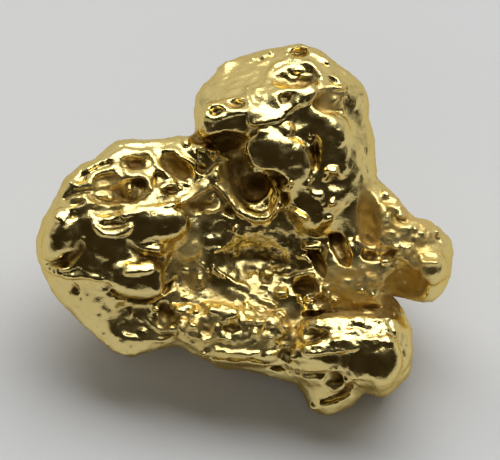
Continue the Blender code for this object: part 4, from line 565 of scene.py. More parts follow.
# Flats on the crumbs of each area, as FACETS: place (x, y), radii across and up, how far they stand out,
# turn in degrees.
FLATS = {
    "crown": (
        (0.1, 4.3, 0.09, 0.05, 0.05, 10), (0.35, 4.36, 0.09, 0.06, 0.05, 10),
        (0.52, 4.44, 0.06, 0.06, 0.05, 0), (-0.05, 4.18, 0.05, 0.04, 0.04, 0),
        (1.0, 4.3, 0.1, 0.04, 0.05, 0), (1.55, 4.43, 0.1, 0.05, 0.05, -35),
        (1.88, 4.22, 0.1, 0.06, 0.06, -35), (2.15, 3.8, 0.1, 0.05, 0.05, -30)),
    "left lobe": (
        (-3.75, 0.85, 0.12, 0.05, 0.07, 0), (-3.5, 0.8, 0.1, 0.06, 0.07, 0),
        (-3.02, 1.1, 0.08, 0.16, 0.09, 5), (-2.57, 1.65, 0.07, 0.07, 0.08, 0),
        (-1.6, 2.2, 0.09, 0.1, 0.09, 15), (-1.2, 2.03, 0.12, 0.04, 0.08, 0),
        (-0.92, 1.93, 0.1, 0.08, 0.09, 0), (-0.62, 1.76, 0.15, 0.04, 0.08, -10),
        (-0.95, 0.85, 0.08, 0.05, 0.08, 0), (-0.78, 0.62, 0.06, 0.1, 0.08, 0)),
    "basin": (
        (0.45, -1.05, 0.13, 0.1, 0.11, 0), (0.72, -1.0, 0.1, 0.08, 0.11, 0),
        (0.6, -1.2, 0.12, 0.07, 0.1, 0), (0.86, -1.2, 0.06, 0.06, 0.09, 0),
        (0.15, -1.15, 0.1, 0.06, 0.07, 0), (0.4, -1.4, 0.14, 0.06, 0.07, 0),
        (0.8, -1.58, 0.14, 0.1, 0.11, 10)),
    "round hole": (
        (1.25, -1.72, 0.06, 0.12, 0.09, 20), (1.55, -1.78, 0.06, 0.07, 0.09, -20),
        (1.75, -1.5, 0.05, 0.12, 0.09, 10), (1.95, -1.62, 0.04, 0.1, 0.09, 10),
        (2.12, -1.75, 0.08, 0.05, 0.09, 0), (1.68, -1.97, 0.1, 0.04, 0.07, 0),
        (1.88, -1.4, 0.08, 0.04, 0.07, 0)),
    "crumb bed": (
        (-0.85, -2.02, 0.24, 0.09, 0.11, -12), (-0.5, -2.08, 0.2, 0.12, 0.11, 5),
        (-0.68, -2.22, 0.12, 0.07, 0.09, 0), (-1.73, -1.98, 0.16, 0.12, 0.1, 0),
        (-1.93, -2.45, 0.12, 0.09, 0.11, 0), (-1.4, -2.38, 0.11, 0.06, 0.09, -20),
        (-1.33, -2.02, 0.1, 0.05, 0.08, 0), (-2.34, -1.98, 0.11, 0.05, 0.09, 5),
        (0.0, -2.27, 0.13, 0.05, 0.09, 0), (0.3, -2.29, 0.13, 0.04, 0.09, 0),
        (-0.7, -2.6, 0.1, 0.14, 0.08, 0), (-0.35, -2.6, 0.1, 0.08, 0.08, 0),
        (0.12, -2.55, 0.09, 0.1, 0.08, 0), (0.55, -2.35, 0.07, 0.07, 0.08, 0),
        (0.8, -2.1, 0.12, 0.05, 0.09, -35), (-1.15, -3.07, 0.07, 0.06, 0.08, 30),
        (-0.08, -1.88, 0.06, 0.09, 0.08, 20), (-1.05, -1.88, 0.1, 0.05, 0.08, 0),
        (-1.15, -2.75, 0.09, 0.05, 0.07, 0)),
    "arm": (
        (3.38, -0.78, 0.13, 0.07, 0.09, 0), (3.55, -0.92, 0.06, 0.04, 0.07, 0),
        (3.62, -0.42, 0.06, 0.05, 0.09, 0), (3.95, -0.42, 0.1, 0.06, 0.09, 20),
        (3.68, -0.62, 0.06, 0.05, 0.08, 0), (3.4, 0.93, 0.09, 0.06, 0.07, -20),
        (3.62, 0.8, 0.1, 0.05, 0.07, -30), (3.75, 0.38, 0.08, 0.04, 0.07, 0),
        (4.62, -0.02, 0.14, 0.05, 0.08, -30), (2.8, -1.5, 0.07, 0.05, 0.07, 0),
        (3.05, -1.6, 0.12, 0.03, 0.07, -40)),
}

# Grit strewn over an area: middle (x, y), radii across and up, turn in degrees, how many, their radii and
# rises, seed.
GRIT = {
    "arm": (3.75, -0.1, 1.05, 0.6, -35, 50, (0.04, 0.09), (0.03, 0.07), 31),
    "saddle": (2.6, -1.45, 0.9, 0.42, -5, 34, (0.03, 0.07), (0.02, 0.05), 32),
    "crumb bed": (-0.45, -2.35, 1.5, 0.5, -3, 80, (0.04, 0.1), (0.03, 0.08), 33),
    "basin floor": (0.4, -1.2, 0.5, 0.35, -20, 26, (0.05, 0.1), (0.03, 0.06), 34),
    "recess": (-2.65, -2.3, 0.75, 0.35, -12, 14, (0.04, 0.08), (0.03, 0.06), 35),
    "cream": (-3.3, 0.85, 0.7, 0.15, 4, 18, (0.04, 0.07), (0.03, 0.06), 36),
    "left basin": (-1.6, -1.3, 0.4, 0.45, 0, 16, (0.04, 0.08), (0.03, 0.07), 38),
    "under the rim": (0.3, 0.02, 1.0, 0.2, 0, 18, (0.04, 0.08), (0.03, 0.07), 39),
    "neck": (-1.2, 1.75, 0.4, 0.4, 0, 14, (0.04, 0.08), (0.03, 0.07), 37),
}

# The hidden side's fine relief, as BACK_RELIEF.
FINE_BACK_RELIEF = {
    "pits": (0.42, (0.12, 0.24), (-0.12, -0.05), 0.05, 0.7, 11),
    "crumbs": (0.32, (0.08, 0.16), (0.03, 0.07), 0.05, 0.7, 12),
}

# Roughening of the skin: how long the lumps are, and how far they move the skin.
SKEW = (0.45, 0.1)                   # bends pits and ridges out of true
FINE_SKEW = (0.2, 0.055)             # and ravels their edges
GRAIN = (0.16, 0.02, 0.035)          # lumps the skin everywhere, and more where it is rough
SCALLOPS = (0.34, 0.1)               # hollows with sharp crests between them, where it is rough

FAR = 3.0                            # the distance where no shape has been laid yet
LEVEL_STEPS = 4.0                    # the lattice steps from full to empty in the volume that is drawn
TRIM_BLEND = 0.15                    # how softly whatever crosses the outline is trimmed to it
NEAR_CUT = 0.15                      # the least margin round a shape in which the lattice is worked out
KNOB_DEPTH = (1.2, 0.6)              # a knob's radius out of the face, in its rise or in its lesser radius,
LEAST_DEPTH = 0.03                   # and the least that it is given
BACK_STRETCH = (0.8, 1.25)           # how a lump's radii on the hidden side differ from what its row says
PIT_SINK = 0.3                       # how far a pit's own centre stands over the surface, in its radii
PIT_WIDEN = 1.05                     # what keeps the pit's mouth as wide as it says at that height
PATH_STEP = 0.12                     # between the points of a smoothed ridge or crease

# Worn patches of the face: middle (x, y), radii across and up, turn in degrees, then how rough, how matt and
# how much tan film they carry, a film that stands for iron stain and paints the brown the gold mirrors from
# itself.
WORN_AND_REFLECTION_PATCHES = {
    "crown": (-0.25, 3.8, 1.0, 0.55, 18, 0.0, 0.15, 0.15),
    "left recess": (-2.7, -2.25, 0.8, 0.5, -10, 0.5, 0.1, 0.1),
    "olive": (-2.82, 1.74, 0.5, 0.3, 0, 0.3, 0.5, 0.0),
    "upper hollow": (-3.55, 1.15, 0.4, 0.25, 10, 0.3, 0.5, 0.45),
    "slanted": (-1.84, 1.55, 0.4, 0.2, -36, 0.3, 0.5, 0.6),
    "basin floor": (0.35, -1.25, 0.6, 0.42, -20, 0.8, 0.8, 0.15),
    "crumb bed": (-0.5, -2.35, 1.7, 0.7, 0, 0.9, 0.5, 0.35),
    "right saddle": (2.6, -1.45, 0.95, 0.6, 0, 0.9, 0.8, 0.85),
    "arm": (3.7, -0.1, 1.0, 0.75, -35, 0.9, 0.7, 0.65),
    "arm cavity": (3.85, -1.3, 0.55, 0.5, 0, 0.5, 1.0, 1.0),
    "flank cleft": (2.95, 0.35, 0.24, 0.8, 4, 0.2, 1.0, 0.8),
    "roll band": (2.4, -2.6, 1.25, 0.4, 3, 1.0, 0.1, 0.0),
    "over the roll": (2.6, -2.0, 1.1, 0.22, 0, 0.5, 0.3, 0.15),
    "cream": (-3.3, 0.9, 0.95, 0.42, 4, 0.7, 0.6, 0.15),
    "left saddle": (-1.5, -0.6, 0.35, 0.5, 0, 0.6, 0.8, 0.3),
    "left basin": (-1.6, -1.3, 0.5, 0.5, 0, 0.9, 0.3, 0.4),
    "basin top": (0.5, -0.35, 0.9, 0.4, 0, 0.8, 0.1, 0.0),
    "foot facet": (2.1, -3.9, 0.3, 0.3, 0, 0.5, 0.4, 0.0),
    "scoop": (1.95, 3.2, 0.35, 0.35, 0, 0.2, 0.5, 0.5),
    "fork": (-1.1, 0.7, 0.5, 0.4, 0, 0.6, 0.5, 0.2),
    "throat": (-0.45, 1.5, 0.4, 0.8, 10, 0.4, 0.5, 0.2),
    "reddish cleft": (2.3, -0.5, 0.25, 0.45, 20, 0.6, 0.3, 0.1),
    "under the rim": (0.35, 0.05, 1.1, 0.25, 0, 1.0, 0.15, 0.1),
}
WORN_AND_REFLECTION_KINDS = ("rough", "matt", "stain_and_reflection")
WORN_FADE = 0.35                     # the share of a patch over which it fades
WORN_BEHIND = (0.45, 0.45, 0.1)      # how rough and matt the hidden side is, and how much tan film it has
PROUD_FULL = 0.04                    # how far a crumb stands out where it is rubbed quite bright
PROUD_CLEAN = (0.5, 0.5, 0.9)        # how much of the three such rubbing takes away

# How hollow the surface is, which gathers dirt and sets the painted shade there.
HOLLOW_CELLS = 9                     # how many lattice points one look round takes in along each axis,
HOLLOW_PASSES = 2                    # and how often it is taken
HOLLOW_REACH = 0.5                   # the greatest distance that counts
HOLLOW_FULL = 0.09                   # the mean distance at which a hollow counts as deep

# The metal. Every length is from one lump of a pattern to the next.
GOLD_PALE = "F0DC9A"                 # an eighth or so of silver makes it a pale greenish yellow,
GOLD_DEEP = "E8D084"                 # a little deeper in patches
GOLD_ASLANT = "F0E0B4"               # what it mirrors where it is seen aslant
SHADE_LENGTH = 1.2
DIRT_AND_SHADE = "7E6030"                      # brown earth and painted shade in the hollows,
DIRT_AND_SHADE_BETWEEN = (0.25, 0.9)           # how hollow it is where the dirt and painted shade begin and where they cover,
DIRT_AND_SHADE_ROUGHENS = 0.22                 # and what it adds to the roughness
FILM_AND_REFLECTION = "C2983F"                      # a thin tan film, iron stain and painted brown reflection of the gold round it,
FILM_AND_REFLECTION_COVERS = 0.6                    # and how much of the metal it hides
WEAR_LENGTH = 0.35
WEAR_BETWEEN = (0.3, 0.7)            # the part of the wear's pattern over which the polish changes
POLISH = (0.15, 0.3)                 # the roughness of well rubbed and of less rubbed metal
MATT_ROUGHENS = 0.28                 # what a matt patch adds to it
PORE_LENGTH = 0.07                   # real pores are finer, and wouldn't show
DENT_LENGTH = 0.15                   # fine scallops where the metal is rough,
DENT_BEND = 0.3                      # how far their edges wander,
DENT_DEPTH = 2.5                     # and how much deeper than pores they are
BUMP_DEPTH = 0.006

# The stage and the camera.
CAMERA_DISTANCE = 160.0
CAMERA_ELEVATION = 50.0              # degrees over the table
CAMERA_NEAREST = 1.0                 # nothing nearer to the lens is drawn
PICTURE_WIDTH = 12.5                 # what the camera sees across, at the face's zero
TABLE_WIDTH = 1200.0
LAMP_PLACE = (18.0, 46.0, 136.0)
LAMP_WIDTH = 220.0
LAMP_DEPTH = 115.0
LAMP_POWER = 0.2                     # watts
LAMP_COLOUR = "F6FAFF"               # daylight white
FILL_PLACE = (-30.0, -130.0, 110.0)
FILL_WIDTH = 160.0
FILL_POWER = 0.05
TABLE_COLOUR = "D1D0CE"
TABLE_ROUGHNESS = 0.9
ROOM_FRONT = "2B2416"                # the room before the table, which the broad face mirrors
ROOM_BACK = "CDCCC8"                 # and behind it
ROOM_TURN = (-0.1, 0.5)              # where the one passes into the other, front to back


def smooth_union(a, b, blend):
    """The nearer of two distances, melted together over the blend."""
    near = np.maximum(blend - np.abs(a - b), 0.0) / blend
    return np.minimum(a, b) - near * near * blend * 0.25


def smooth_cut(a, b, blend):
    """What is left of a once everything on the inner side of b is kept."""
    return -smooth_union(-a, -b, blend)


class Form:
    """A signed distance on a lattice of points, below zero in the metal."""

    def __init__(self, step):
        self.step = step
        self.low = np.array(LATTICE_LOW)
        self.count = np.ceil((np.array(LATTICE_HIGH) - self.low) / step).astype(int) + 1
        self.axes = [self.low[i] + step * np.arange(self.count[i]) for i in range(3)]
        self.field = np.full(self.count, FAR, dtype=np.float32)
        self.proud = 0.0             # from 0 on plain metal to 1 on what stands well proud of it

    def window(self, low, high):
        """The part of the lattice between two corners, with its coordinates."""
        first = np.clip(np.floor((np.asarray(low) - self.low) / self.step).astype(int), 0, self.count - 1)
        last = np.clip(np.ceil((np.asarray(high) - self.low) / self.step).astype(int) + 1, 1, self.count)
        part = tuple(slice(a, b) for a, b in zip(first, last))
        x, y, z = (self.axes[i][part[i]].astype(np.float32) for i in range(3))
        return part, x[:, None, None], y[None, :, None], z[None, None, :]

    def blob(self, centre, radii, turn, lean, square, margin):
        """Distance to a lobe: turned about the way out of the face, leaning, round or square in section."""
        a, b, c = radii
        reach = np.array((max(a, b), max(a, b), c + abs(lean[0]) * a + abs(lean[1]) * b)) + margin
        part, x, y, z = self.window(np.asarray(centre) - reach, np.asarray(centre) + reach)
        angle = math.radians(turn)
        x, y, z = x - centre[0], y - centre[1], z - centre[2]
        across = (x * math.cos(angle) + y * math.sin(angle)) / a
        along = (y * math.cos(angle) - x * math.sin(angle)) / b
        out = (z - lean[0] * a * across - lean[1] * b * along) / c
        total = np.abs(across) ** square + np.abs(along) ** square + np.abs(out) ** square
        total = np.maximum(total, 1e-6)
        slope_x, slope_y, slope_z = (np.sign(v) * np.abs(v) ** (square - 1) for v in (across, along, out))
        slope_x = slope_x / a - slope_z * lean[0] / c
        slope_y = slope_y / b - slope_z * lean[1] / c
        slope = np.sqrt(slope_x ** 2 + slope_y ** 2 + (slope_z / c) ** 2) * total ** (1 / square - 1)
        return part, (total ** (1 / square) - 1) / np.maximum(slope, 1e-4)

    def add(self, centre, radii, turn, blend, lean=(0.0, 0.0), square=2.0):
        part, distance = self.blob(centre, radii, turn, lean, square, max(blend, NEAR_CUT))
        self.field[part] = smooth_union(self.field[part], distance, blend)

    def cut(self, centre, radii, turn, blend, lean=(0.0, 0.0), square=2.0):
        part, distance = self.blob(centre, radii, turn, lean, square, max(blend, NEAR_CUT))
        self.field[part] = smooth_cut(self.field[part], -distance, blend)

    def slope(self, point, way, low, high):
        """Planes off whatever stands over a slope between two corners."""
        part, x, y, z = self.window(low, high)
        way = np.array(way) / np.linalg.norm(way)
        over = (x - point[0]) * way[0] + (y - point[1]) * way[1] + (z - point[2]) * way[2]
        self.field[part] = smooth_cut(self.field[part], over, SLOPE_BLEND)

    def rods(self, path, radii, margin):
        """Distances to the round rods between a path's points, one after another."""
        for a, b, thick_a, thick_b in zip(path, path[1:], radii, radii[1:]):
            a, b = np.asarray(a, float), np.asarray(b, float)
            reach = max(thick_a, thick_b) + margin
            part, x, y, z = self.window(np.minimum(a, b) - reach, np.maximum(a, b) + reach)
            run = b - a
            x, y, z = x - a[0], y - a[1], z - a[2]
            share = np.clip((x * run[0] + y * run[1] + z * run[2]) / max(run @ run, 1e-9), 0.0, 1.0)
            away = np.sqrt((x - share * run[0]) ** 2 + (y - share * run[1]) ** 2 + (z - share * run[2]) ** 2)
            yield part, away - (thick_a + share * (thick_b - thick_a))

    def heights(self):
        """How far out the front surface stands over each column of the lattice."""
        inside = self.field < 0
        top = self.count[2] - 1 - np.argmax(inside[:, :, ::-1], axis=2)
        top = np.clip(top, 0, self.count[2] - 2)
        i, j = np.indices(top.shape)
        below, above = self.field[i, j, top], self.field[i, j, top + 1]
        share = np.clip(below / (below - above - 1e-9), 0.0, 1.0)
        return np.where(inside.any(axis=2), self.axes[2][top] + share * self.step, EDGE_DEPTH)

    def height(self, heights, x, y):
        """The front surface's height at one place, read between the columns."""
        across, along = (x - self.low[0]) / self.step, (y - self.low[1]) / self.step
        i, j = int(across), int(along)
        s, t = across - i, along - j
        lower = heights[i, j] * (1 - s) + heights[i + 1, j] * s
        upper = heights[i, j + 1] * (1 - s) + heights[i + 1, j + 1] * s
        return float(lower * (1 - t) + upper * t)


def outline_distance(form):
    """Distance in the face's plane to the outline, below zero within it."""
    x, y = form.axes[0][:, None], form.axes[1][None, :]
    near = np.full((form.count[0], form.count[1]), 1e9)
    within = np.zeros(near.shape, bool)
    for (ax, ay), (bx, by) in zip(OUTLINE, OUTLINE[1:] + OUTLINE[:1]):
        run_x, run_y = bx - ax, by - ay
        share = ((x - ax) * run_x + (y - ay) * run_y) / (run_x ** 2 + run_y ** 2)
        share = np.clip(share, 0.0, 1.0)
        near = np.minimum(near, (x - ax - share * run_x) ** 2 + (y - ay - share * run_y) ** 2)
        crossed = (ay > y) != (by > y)
        within ^= crossed & (x < (bx - ax) * (y - ay) / (by - ay + 1e-12) + ax)
    distance = np.where(within, -np.sqrt(near), np.sqrt(near))
    for _ in range(max(1, round(2 * (EDGE_SOFTEN / form.step) ** 2))):
        pad = np.pad(distance, 1, mode="edge")
        sides = pad[:-2, 1:-1] + pad[2:, 1:-1] + pad[1:-1, :-2] + pad[1:-1, 2:]
        distance = (sides + 4.0 * distance) / 8.0
    return distance[:, :, None]


def rounded_slab(form, distance):
    """The outline made into a slab with rounded edges."""
    side = distance + EDGE_ROUND
    face = np.abs(form.axes[2][None, None, :] - EDGE_DEPTH) - EDGE_HALF + EDGE_ROUND
    corner = np.sqrt(np.maximum(side, 0.0) ** 2 + np.maximum(face, 0.0) ** 2)
    return np.minimum(np.maximum(side, face), 0.0) + corner - EDGE_ROUND


def smooth_path(points):
    """A smooth path through given points (x, y, radius), with points every PATH_STEP."""
    ends = [np.array(p, float) for p in points]
    ends = [2 * ends[0] - ends[1]] + ends + [2 * ends[-1] - ends[-2]]
    path = []
    for before, a, b, after in zip(ends, ends[1:], ends[2:], ends[3:]):
        steps = max(1, round(float(np.linalg.norm((b - a)[:2])) / PATH_STEP))
        for t in (i / steps for i in range(steps)):
            bend = (2 * before - 5 * a + 4 * b - after) * t ** 2
            twist = (3 * a - before - 3 * b + after) * t ** 3
            path.append(0.5 * (2 * a + (b - before) * t + bend + twist))
    path.append(ends[-2])
    return path


def add_knob(form, heights, blend, x, y, across, along, proud, turn):
    depth = max(KNOB_DEPTH[0] * proud, KNOB_DEPTH[1] * min(across, along), LEAST_DEPTH)
    middle = form.height(heights, x, y) + proud - depth
    form.add((x, y, middle), (across, along, depth), turn, blend)


def leaning(rise, turn):
    """A rise up the face, as the rises along a turned shape's own two ways."""
    angle = math.radians(turn)
    return rise * math.sin(angle), rise * math.cos(angle)


def add_facet(form, heights, x, y, across, along, proud, turn):
    middle = form.height(heights, x, y) + proud - FACET_DEPTH
    form.add((x, y, middle), (across, along, FACET_DEPTH), turn, FACET_BLEND, leaning(FACET_RISE, turn),
             FACET_SQUARE)


def cut_pit(form, heights, blend, x, y, across, along, deep, turn, lean=(0.0, 0.0)):
    depth = deep / (1.0 - PIT_SINK)
    middle = form.height(heights, x, y) + PIT_SINK * depth
    form.cut((x, y, middle), (across * PIT_WIDEN, along * PIT_WIDEN, depth), turn, blend, lean)


def bead_leaning(turn):
    """How a bead leans for its front to look up the face, more across a ridge that runs aslant."""
    angle = math.radians(turn)
    across = math.cos(angle)
    return BEAD_RISE * math.sin(angle), BEAD_RISE * across / max(across ** 2, BEAD_ASLANT)


def add_ridge(form, heights, blend, proud, points):
    """A row of flattened beads whose fronts all look a little upwards."""
    path = smooth_path(points)
    for i, (x, y, radius) in enumerate(path):
        ahead = path[min(i + 1, len(path) - 1)] - path[max(i - 1, 0)]
        turn = math.degrees(math.atan2(ahead[1], ahead[0]))
        depth = BEAD_DEPTH * radius
        middle = form.height(heights, x, y) + proud - depth
        radii = (BEAD_REACH + radius / 2, radius, depth)
        form.add((x, y, middle), radii, turn, blend, bead_leaning(turn), BEAD_SQUARE)


def cut_crease(form, heights, deep, blend, points):
    path = smooth_path(points)
    centres = [(x, y, form.height(heights, x, y) + radius - deep) for x, y, radius in path]
    for part, distance in form.rods(centres, [p[2] for p in path], NEAR_CUT):
        form.field[part] = smooth_cut(form.field[part], -distance, blend)


def hidden_spots(form, spacing, seed):
    """Spots on the hidden side, none nearer another than the spacing, with the way out of each."""
    cells = np.argwhere(np.abs(form.field[1:-1, 1:-1, 1:-1]) < 0.5 * form.step) + 1
    places = form.low + cells * form.step
    cells, places = cells[places[:, 2] < BACK], places[places[:, 2] < BACK]
    free = np.ones(len(cells), bool)
    spots = []
    for i in np.random.default_rng(seed).permutation(len(cells)):
        if free[i]:
            spots.append(i)
            free &= ((places - places[i]) ** 2).sum(axis=1) > spacing ** 2
    a, b, c = cells[spots].T
    out = np.stack([form.field[a + 1, b, c] - form.field[a - 1, b, c],
                    form.field[a, b + 1, c] - form.field[a, b - 1, c],
                    form.field[a, b, c + 1] - form.field[a, b, c - 1]], axis=1)
    return places[spots], out / np.maximum(np.linalg.norm(out, axis=1, keepdims=True), 1e-6)


def relieve_back(form, spacing, radii, rises, blend, share, seed):
    """Seeded lumps, or hollows where the rise is under zero, over the hidden side."""
    dice = random.Random(seed)
    for place, out in zip(*hidden_spots(form, spacing, seed)):
        radius, rise, turn = dice.uniform(*radii), dice.uniform(*rises), dice.uniform(0, 180)
        stretch = [radius * dice.uniform(*BACK_STRETCH) for _ in range(3)]
        if dice.random() > share:
            continue
        if rise > 0:
            form.add(place + out * (rise - radius), stretch, turn, blend)
        else:
            form.cut(place + out * (rise + radius), stretch, turn, blend)


def spline_weights(places, length):
    """For each place, the shares that a smooth curve takes of the knots a length apart."""
    cell = (places - places[0]) / length
    knots = np.arange(-1, int(cell[-1]) + 3)
    away = np.abs(cell[:, None] - knots[None, :])
    near = 2 / 3 - away ** 2 + away ** 3 / 2
    far = np.maximum(2 - away, 0) ** 3 / 6
    return np.where(away < 1, near, far)


def ripple(form, length, reach, seed):
    """Smooth seeded waves of one length, over the whole skin and strongest on the hidden side."""
    across, along, deep = (spline_weights(axis, length) for axis in form.axes)
    knots = np.random.default_rng(seed).uniform(-1, 1, (across.shape[1], along.shape[1], deep.shape[1]))
    waves = np.einsum("ai,bj,ck,ijk->abc", across, along, deep, knots, optimize=True)
    front = np.clip((form.axes[2] - WAVES_FADE[0]) / (WAVES_FADE[1] - WAVES_FADE[0]), 0, 1)
    share = 1 - (1 - WAVES_IN_FRONT) * front
    form.field = (form.field + reach * share * waves).astype(np.float32)


def draw_in(form, distance):
    """Rounds the sides off, before and behind the depth at which the outline runs."""
    deep = form.axes[2][None, None, :] - EDGE_DEPTH
    drawn_in = np.where(deep > 0, TAPER_IN_FRONT, TAPER_BEHIND) * deep ** 2 - EDGE_SPARE
    form.field = smooth_cut(form.field, distance + drawn_in, TRIM_BLEND).astype(np.float32)


def end_at_table(form):
    """Drops what lies under the table."""
    tilt = math.radians(FACE_TILT)
    y, z = form.axes[1][None, :, None], form.axes[2][None, None, :]
    over = y * math.cos(tilt) + z * math.sin(tilt) + FACE_ORIGIN[2]
    form.field = np.maximum(form.field, -over).astype(np.float32)


def strew(form, heights, x, y, across, along, turn, count, radii, rises, seed):
    """Seeded crumbs, evenly over a turned oval."""
    dice = random.Random(seed)
    angle = math.radians(turn)
    for _ in range(count):
        away, way = math.sqrt(dice.random()), dice.uniform(0, 2 * math.pi)
        u, v = across * away * math.cos(way), along * away * math.sin(way)
        at_x = x + u * math.cos(angle) - v * math.sin(angle)
        at_y = y + u * math.sin(angle) + v * math.cos(angle)
        long, short, proud = dice.uniform(*radii), dice.uniform(*radii), dice.uniform(*rises)
        add_knob(form, heights, CRUMB_BLEND, at_x, at_y, long, short, proud, dice.uniform(0, 180))


def lay(rows, make, *before, **after):
    """Makes the rows of a table one after another."""
    for row in rows:
        make(*before, *row, **after)


def finish_in_detail(form):
    """The fine pits, crumbs and ridges, on the front and on the hidden side."""
    lay(FINE_BACK_RELIEF.values(), relieve_back, form)
    heights = form.heights()
    lay(chain(*FINE_PITS.values()), cut_pit, form, heights, FINE_PIT_BLEND)
    lay(FINE_CREASES.values(), cut_crease, form, heights)
    ground = form.field.copy()
    heights = form.heights()
    lay(chain(*CRUMBS.values()), add_knob, form, heights, CRUMB_BLEND)
    lay(GRIT.values(), strew, form, heights)
    heights = form.heights()
    lay(chain(*FLATS.values()), add_facet, form, heights)
    lay(FINE_RIDGES.values(), add_ridge, form, heights, FINE_RIDGE_BLEND)
    form.proud = np.clip((ground - form.field) / PROUD_FULL, 0, 1)


def nugget_form(step):
    form = Form(step)
    distance = outline_distance(form)
    form.field = np.minimum(form.field, rounded_slab(form, distance - EDGE_SPARE)).astype(np.float32)
    lay(LOBES.values(), form.add)
    lay(SLOPES.values(), form.slope)
    lay(HOLLOWS.values(), form.cut)
    lay(LOBES_OVER.values(), form.add)
    lay(PADS.values(), form.add, square=PAD_SQUARE)
    lay(CAVITIES.values(), form.cut)
    draw_in(form, distance)
    lay(BACK_RELIEF.values(), relieve_back, form)
    lay(WAVES.values(), ripple, form)
    form.add(*HEEL)
    heights = form.heights()
    lay(PITS.values(), cut_pit, form, heights, PIT_BLEND)
    lay(LIPPED.values(), cut_pit, form, heights, LIP_BLEND, lean=(0.0, LIP_LEAN))
    lay(CREASES.values(), cut_crease, form, heights)
    heights = form.heights()
    lay(FACETS.values(), add_facet, form, heights)
    lay(KNOBS.values(), add_knob, form, heights, KNOB_BLEND)
    lay(RIDGES.values(), add_ridge, form, heights, RIDGE_BLEND)
    finish_in_detail(form)
    form.field = smooth_cut(form.field, distance, EDGE_SPARE).astype(np.float32)
    end_at_table(form)
    return form


def worn(form, which):
    """One of WORN_AND_REFLECTION_KINDS, from 0 on smooth clean metal up to 1, the same through the face's thickness."""
    x, y = form.axes[0][:, None], form.axes[1][None, :]
    wear = np.zeros((form.count[0], form.count[1]))
    for at_x, at_y, across, along, turn, *shares in WORN_AND_REFLECTION_PATCHES.values():
        angle = math.radians(turn)
        u = ((x - at_x) * math.cos(angle) + (y - at_y) * math.sin(angle)) / across
        v = ((y - at_y) * math.cos(angle) - (x - at_x) * math.sin(angle)) / along
        near = np.clip((1.0 + WORN_FADE - np.sqrt(u ** 2 + v ** 2)) / (2 * WORN_FADE), 0.0, 1.0)
        wear = np.maximum(wear, shares[which] * near)
    behind = np.clip((form.axes[2] - WAVES_FADE[1]) / (WAVES_FADE[0] - WAVES_FADE[1]), 0.0, 1.0)
    clean = PROUD_CLEAN[which] * form.proud
    return (wear[:, :, None] * (1 - behind) + WORN_BEHIND[which] * behind) * (1 - clean)


def box_blur(values, axis):
    """The mean over HOLLOW_CELLS lattice points along one axis."""
    pad = [(0, 0)] * 3
    pad[axis] = (HOLLOW_CELLS // 2 + 1, HOLLOW_CELLS // 2)
    total = np.cumsum(np.pad(values, pad, mode="edge"), axis=axis, dtype=np.float64)
    late = np.take(total, range(HOLLOW_CELLS, total.shape[axis]), axis=axis)
    early = np.take(total, range(total.shape[axis] - HOLLOW_CELLS), axis=axis)
    return (late - early) / HOLLOW_CELLS


def hollowness(form):
    """From 0 on level and proud metal to 1 deep in a hollow, wherever metal is all round."""
    around = np.clip(form.field, -HOLLOW_REACH, HOLLOW_REACH)
    for axis in (0, 1, 2) * HOLLOW_PASSES:
        around = box_blur(around, axis)
    return np.clip(-around / HOLLOW_FULL, 0.0, 1.0)


def add_node(tree, kind, links=(), **settings):
    """Adds a node with its settings, and gives each input a value, a link, or a node's first output."""
    node = tree.nodes.new(kind)
    for name, value in settings.items():
        setattr(node, name, value)
    for socket, source in dict(links).items():
        if isinstance(source, bpy.types.Node):
            source = source.outputs[0]
        if isinstance(source, bpy.types.NodeSocket):
            tree.links.new(source, node.inputs[socket])
        else:
            node.inputs[socket].default_value = source
    return node


def lumps(tree, length, detail):
    """A noise whose lumps are about a length across."""
    scale = add_node(tree, "ShaderNodeMath", {0: 1.0, 1: length}, operation="DIVIDE")
    return add_node(tree, "ShaderNodeTexNoise", {"Scale": scale, "Detail": detail}).outputs


def skew(tree, length, reach):
    """Moves the skin this way and that, which bends what is round out of true."""
    grey = lumps(tree, length, 1.0)["Color"]
    ways = add_node(tree, "ShaderNodeVectorMath", {0: grey, 1: (0.5, 0.5, 0.5)}, operation="SUBTRACT")
    return add_node(tree, "ShaderNodeVectorMath", {0: ways, "Scale": reach}, operation="SCALE")


def outwards(tree, rise, share):
    """Moves the skin out by a share of a rise."""
    out = add_node(tree, "GeometryNodeInputNormal")
    whole = add_node(tree, "ShaderNodeVectorMath", {0: out, "Scale": rise}, operation="SCALE")
    return add_node(tree, "ShaderNodeVectorMath", {0: whole, "Scale": share}, operation="SCALE")


def grain(tree, length, reach, rough_reach):
    """Moves the skin in and out, further where it is rough."""
    level = lumps(tree, length, 2.0)["Fac"]
    rise = add_node(tree, "ShaderNodeMath", {0: level, 1: 0.5}, operation="SUBTRACT")
    rough = add_node(tree, "GeometryNodeInputNamedAttribute", {"Name": "rough"}, data_type="FLOAT")
    share = add_node(tree, "ShaderNodeMath", {0: rough, 1: rough_reach, 2: reach}, operation="MULTIPLY_ADD")
    return outwards(tree, rise, share)


def scallops(tree, length, reach):
    """Hollows that meet in sharp crests, only where the skin is rough."""
    place = add_node(tree, "GeometryNodeInputPosition")
    half = add_node(tree, "ShaderNodeMath", {0: length, 1: 0.5}, operation="MULTIPLY")
    bent = add_node(tree, "ShaderNodeVectorMath", {0: place, 1: skew(tree, length, half)}, operation="ADD")
    scale = add_node(tree, "ShaderNodeMath", {0: 1.0, 1: length}, operation="DIVIDE")
    away = add_node(tree, "ShaderNodeTexVoronoi", {"Vector": bent, "Scale": scale})
    bowl = add_node(tree, "ShaderNodeMath", {0: away, 1: away}, operation="MULTIPLY")
    rise = add_node(tree, "ShaderNodeMath", {0: bowl, 1: 0.25}, operation="SUBTRACT")
    rough = add_node(tree, "GeometryNodeInputNamedAttribute", {"Name": "rough"}, data_type="FLOAT")
    share = add_node(tree, "ShaderNodeMath", {0: rough, 1: reach}, operation="MULTIPLY")
    return outwards(tree, rise, share)


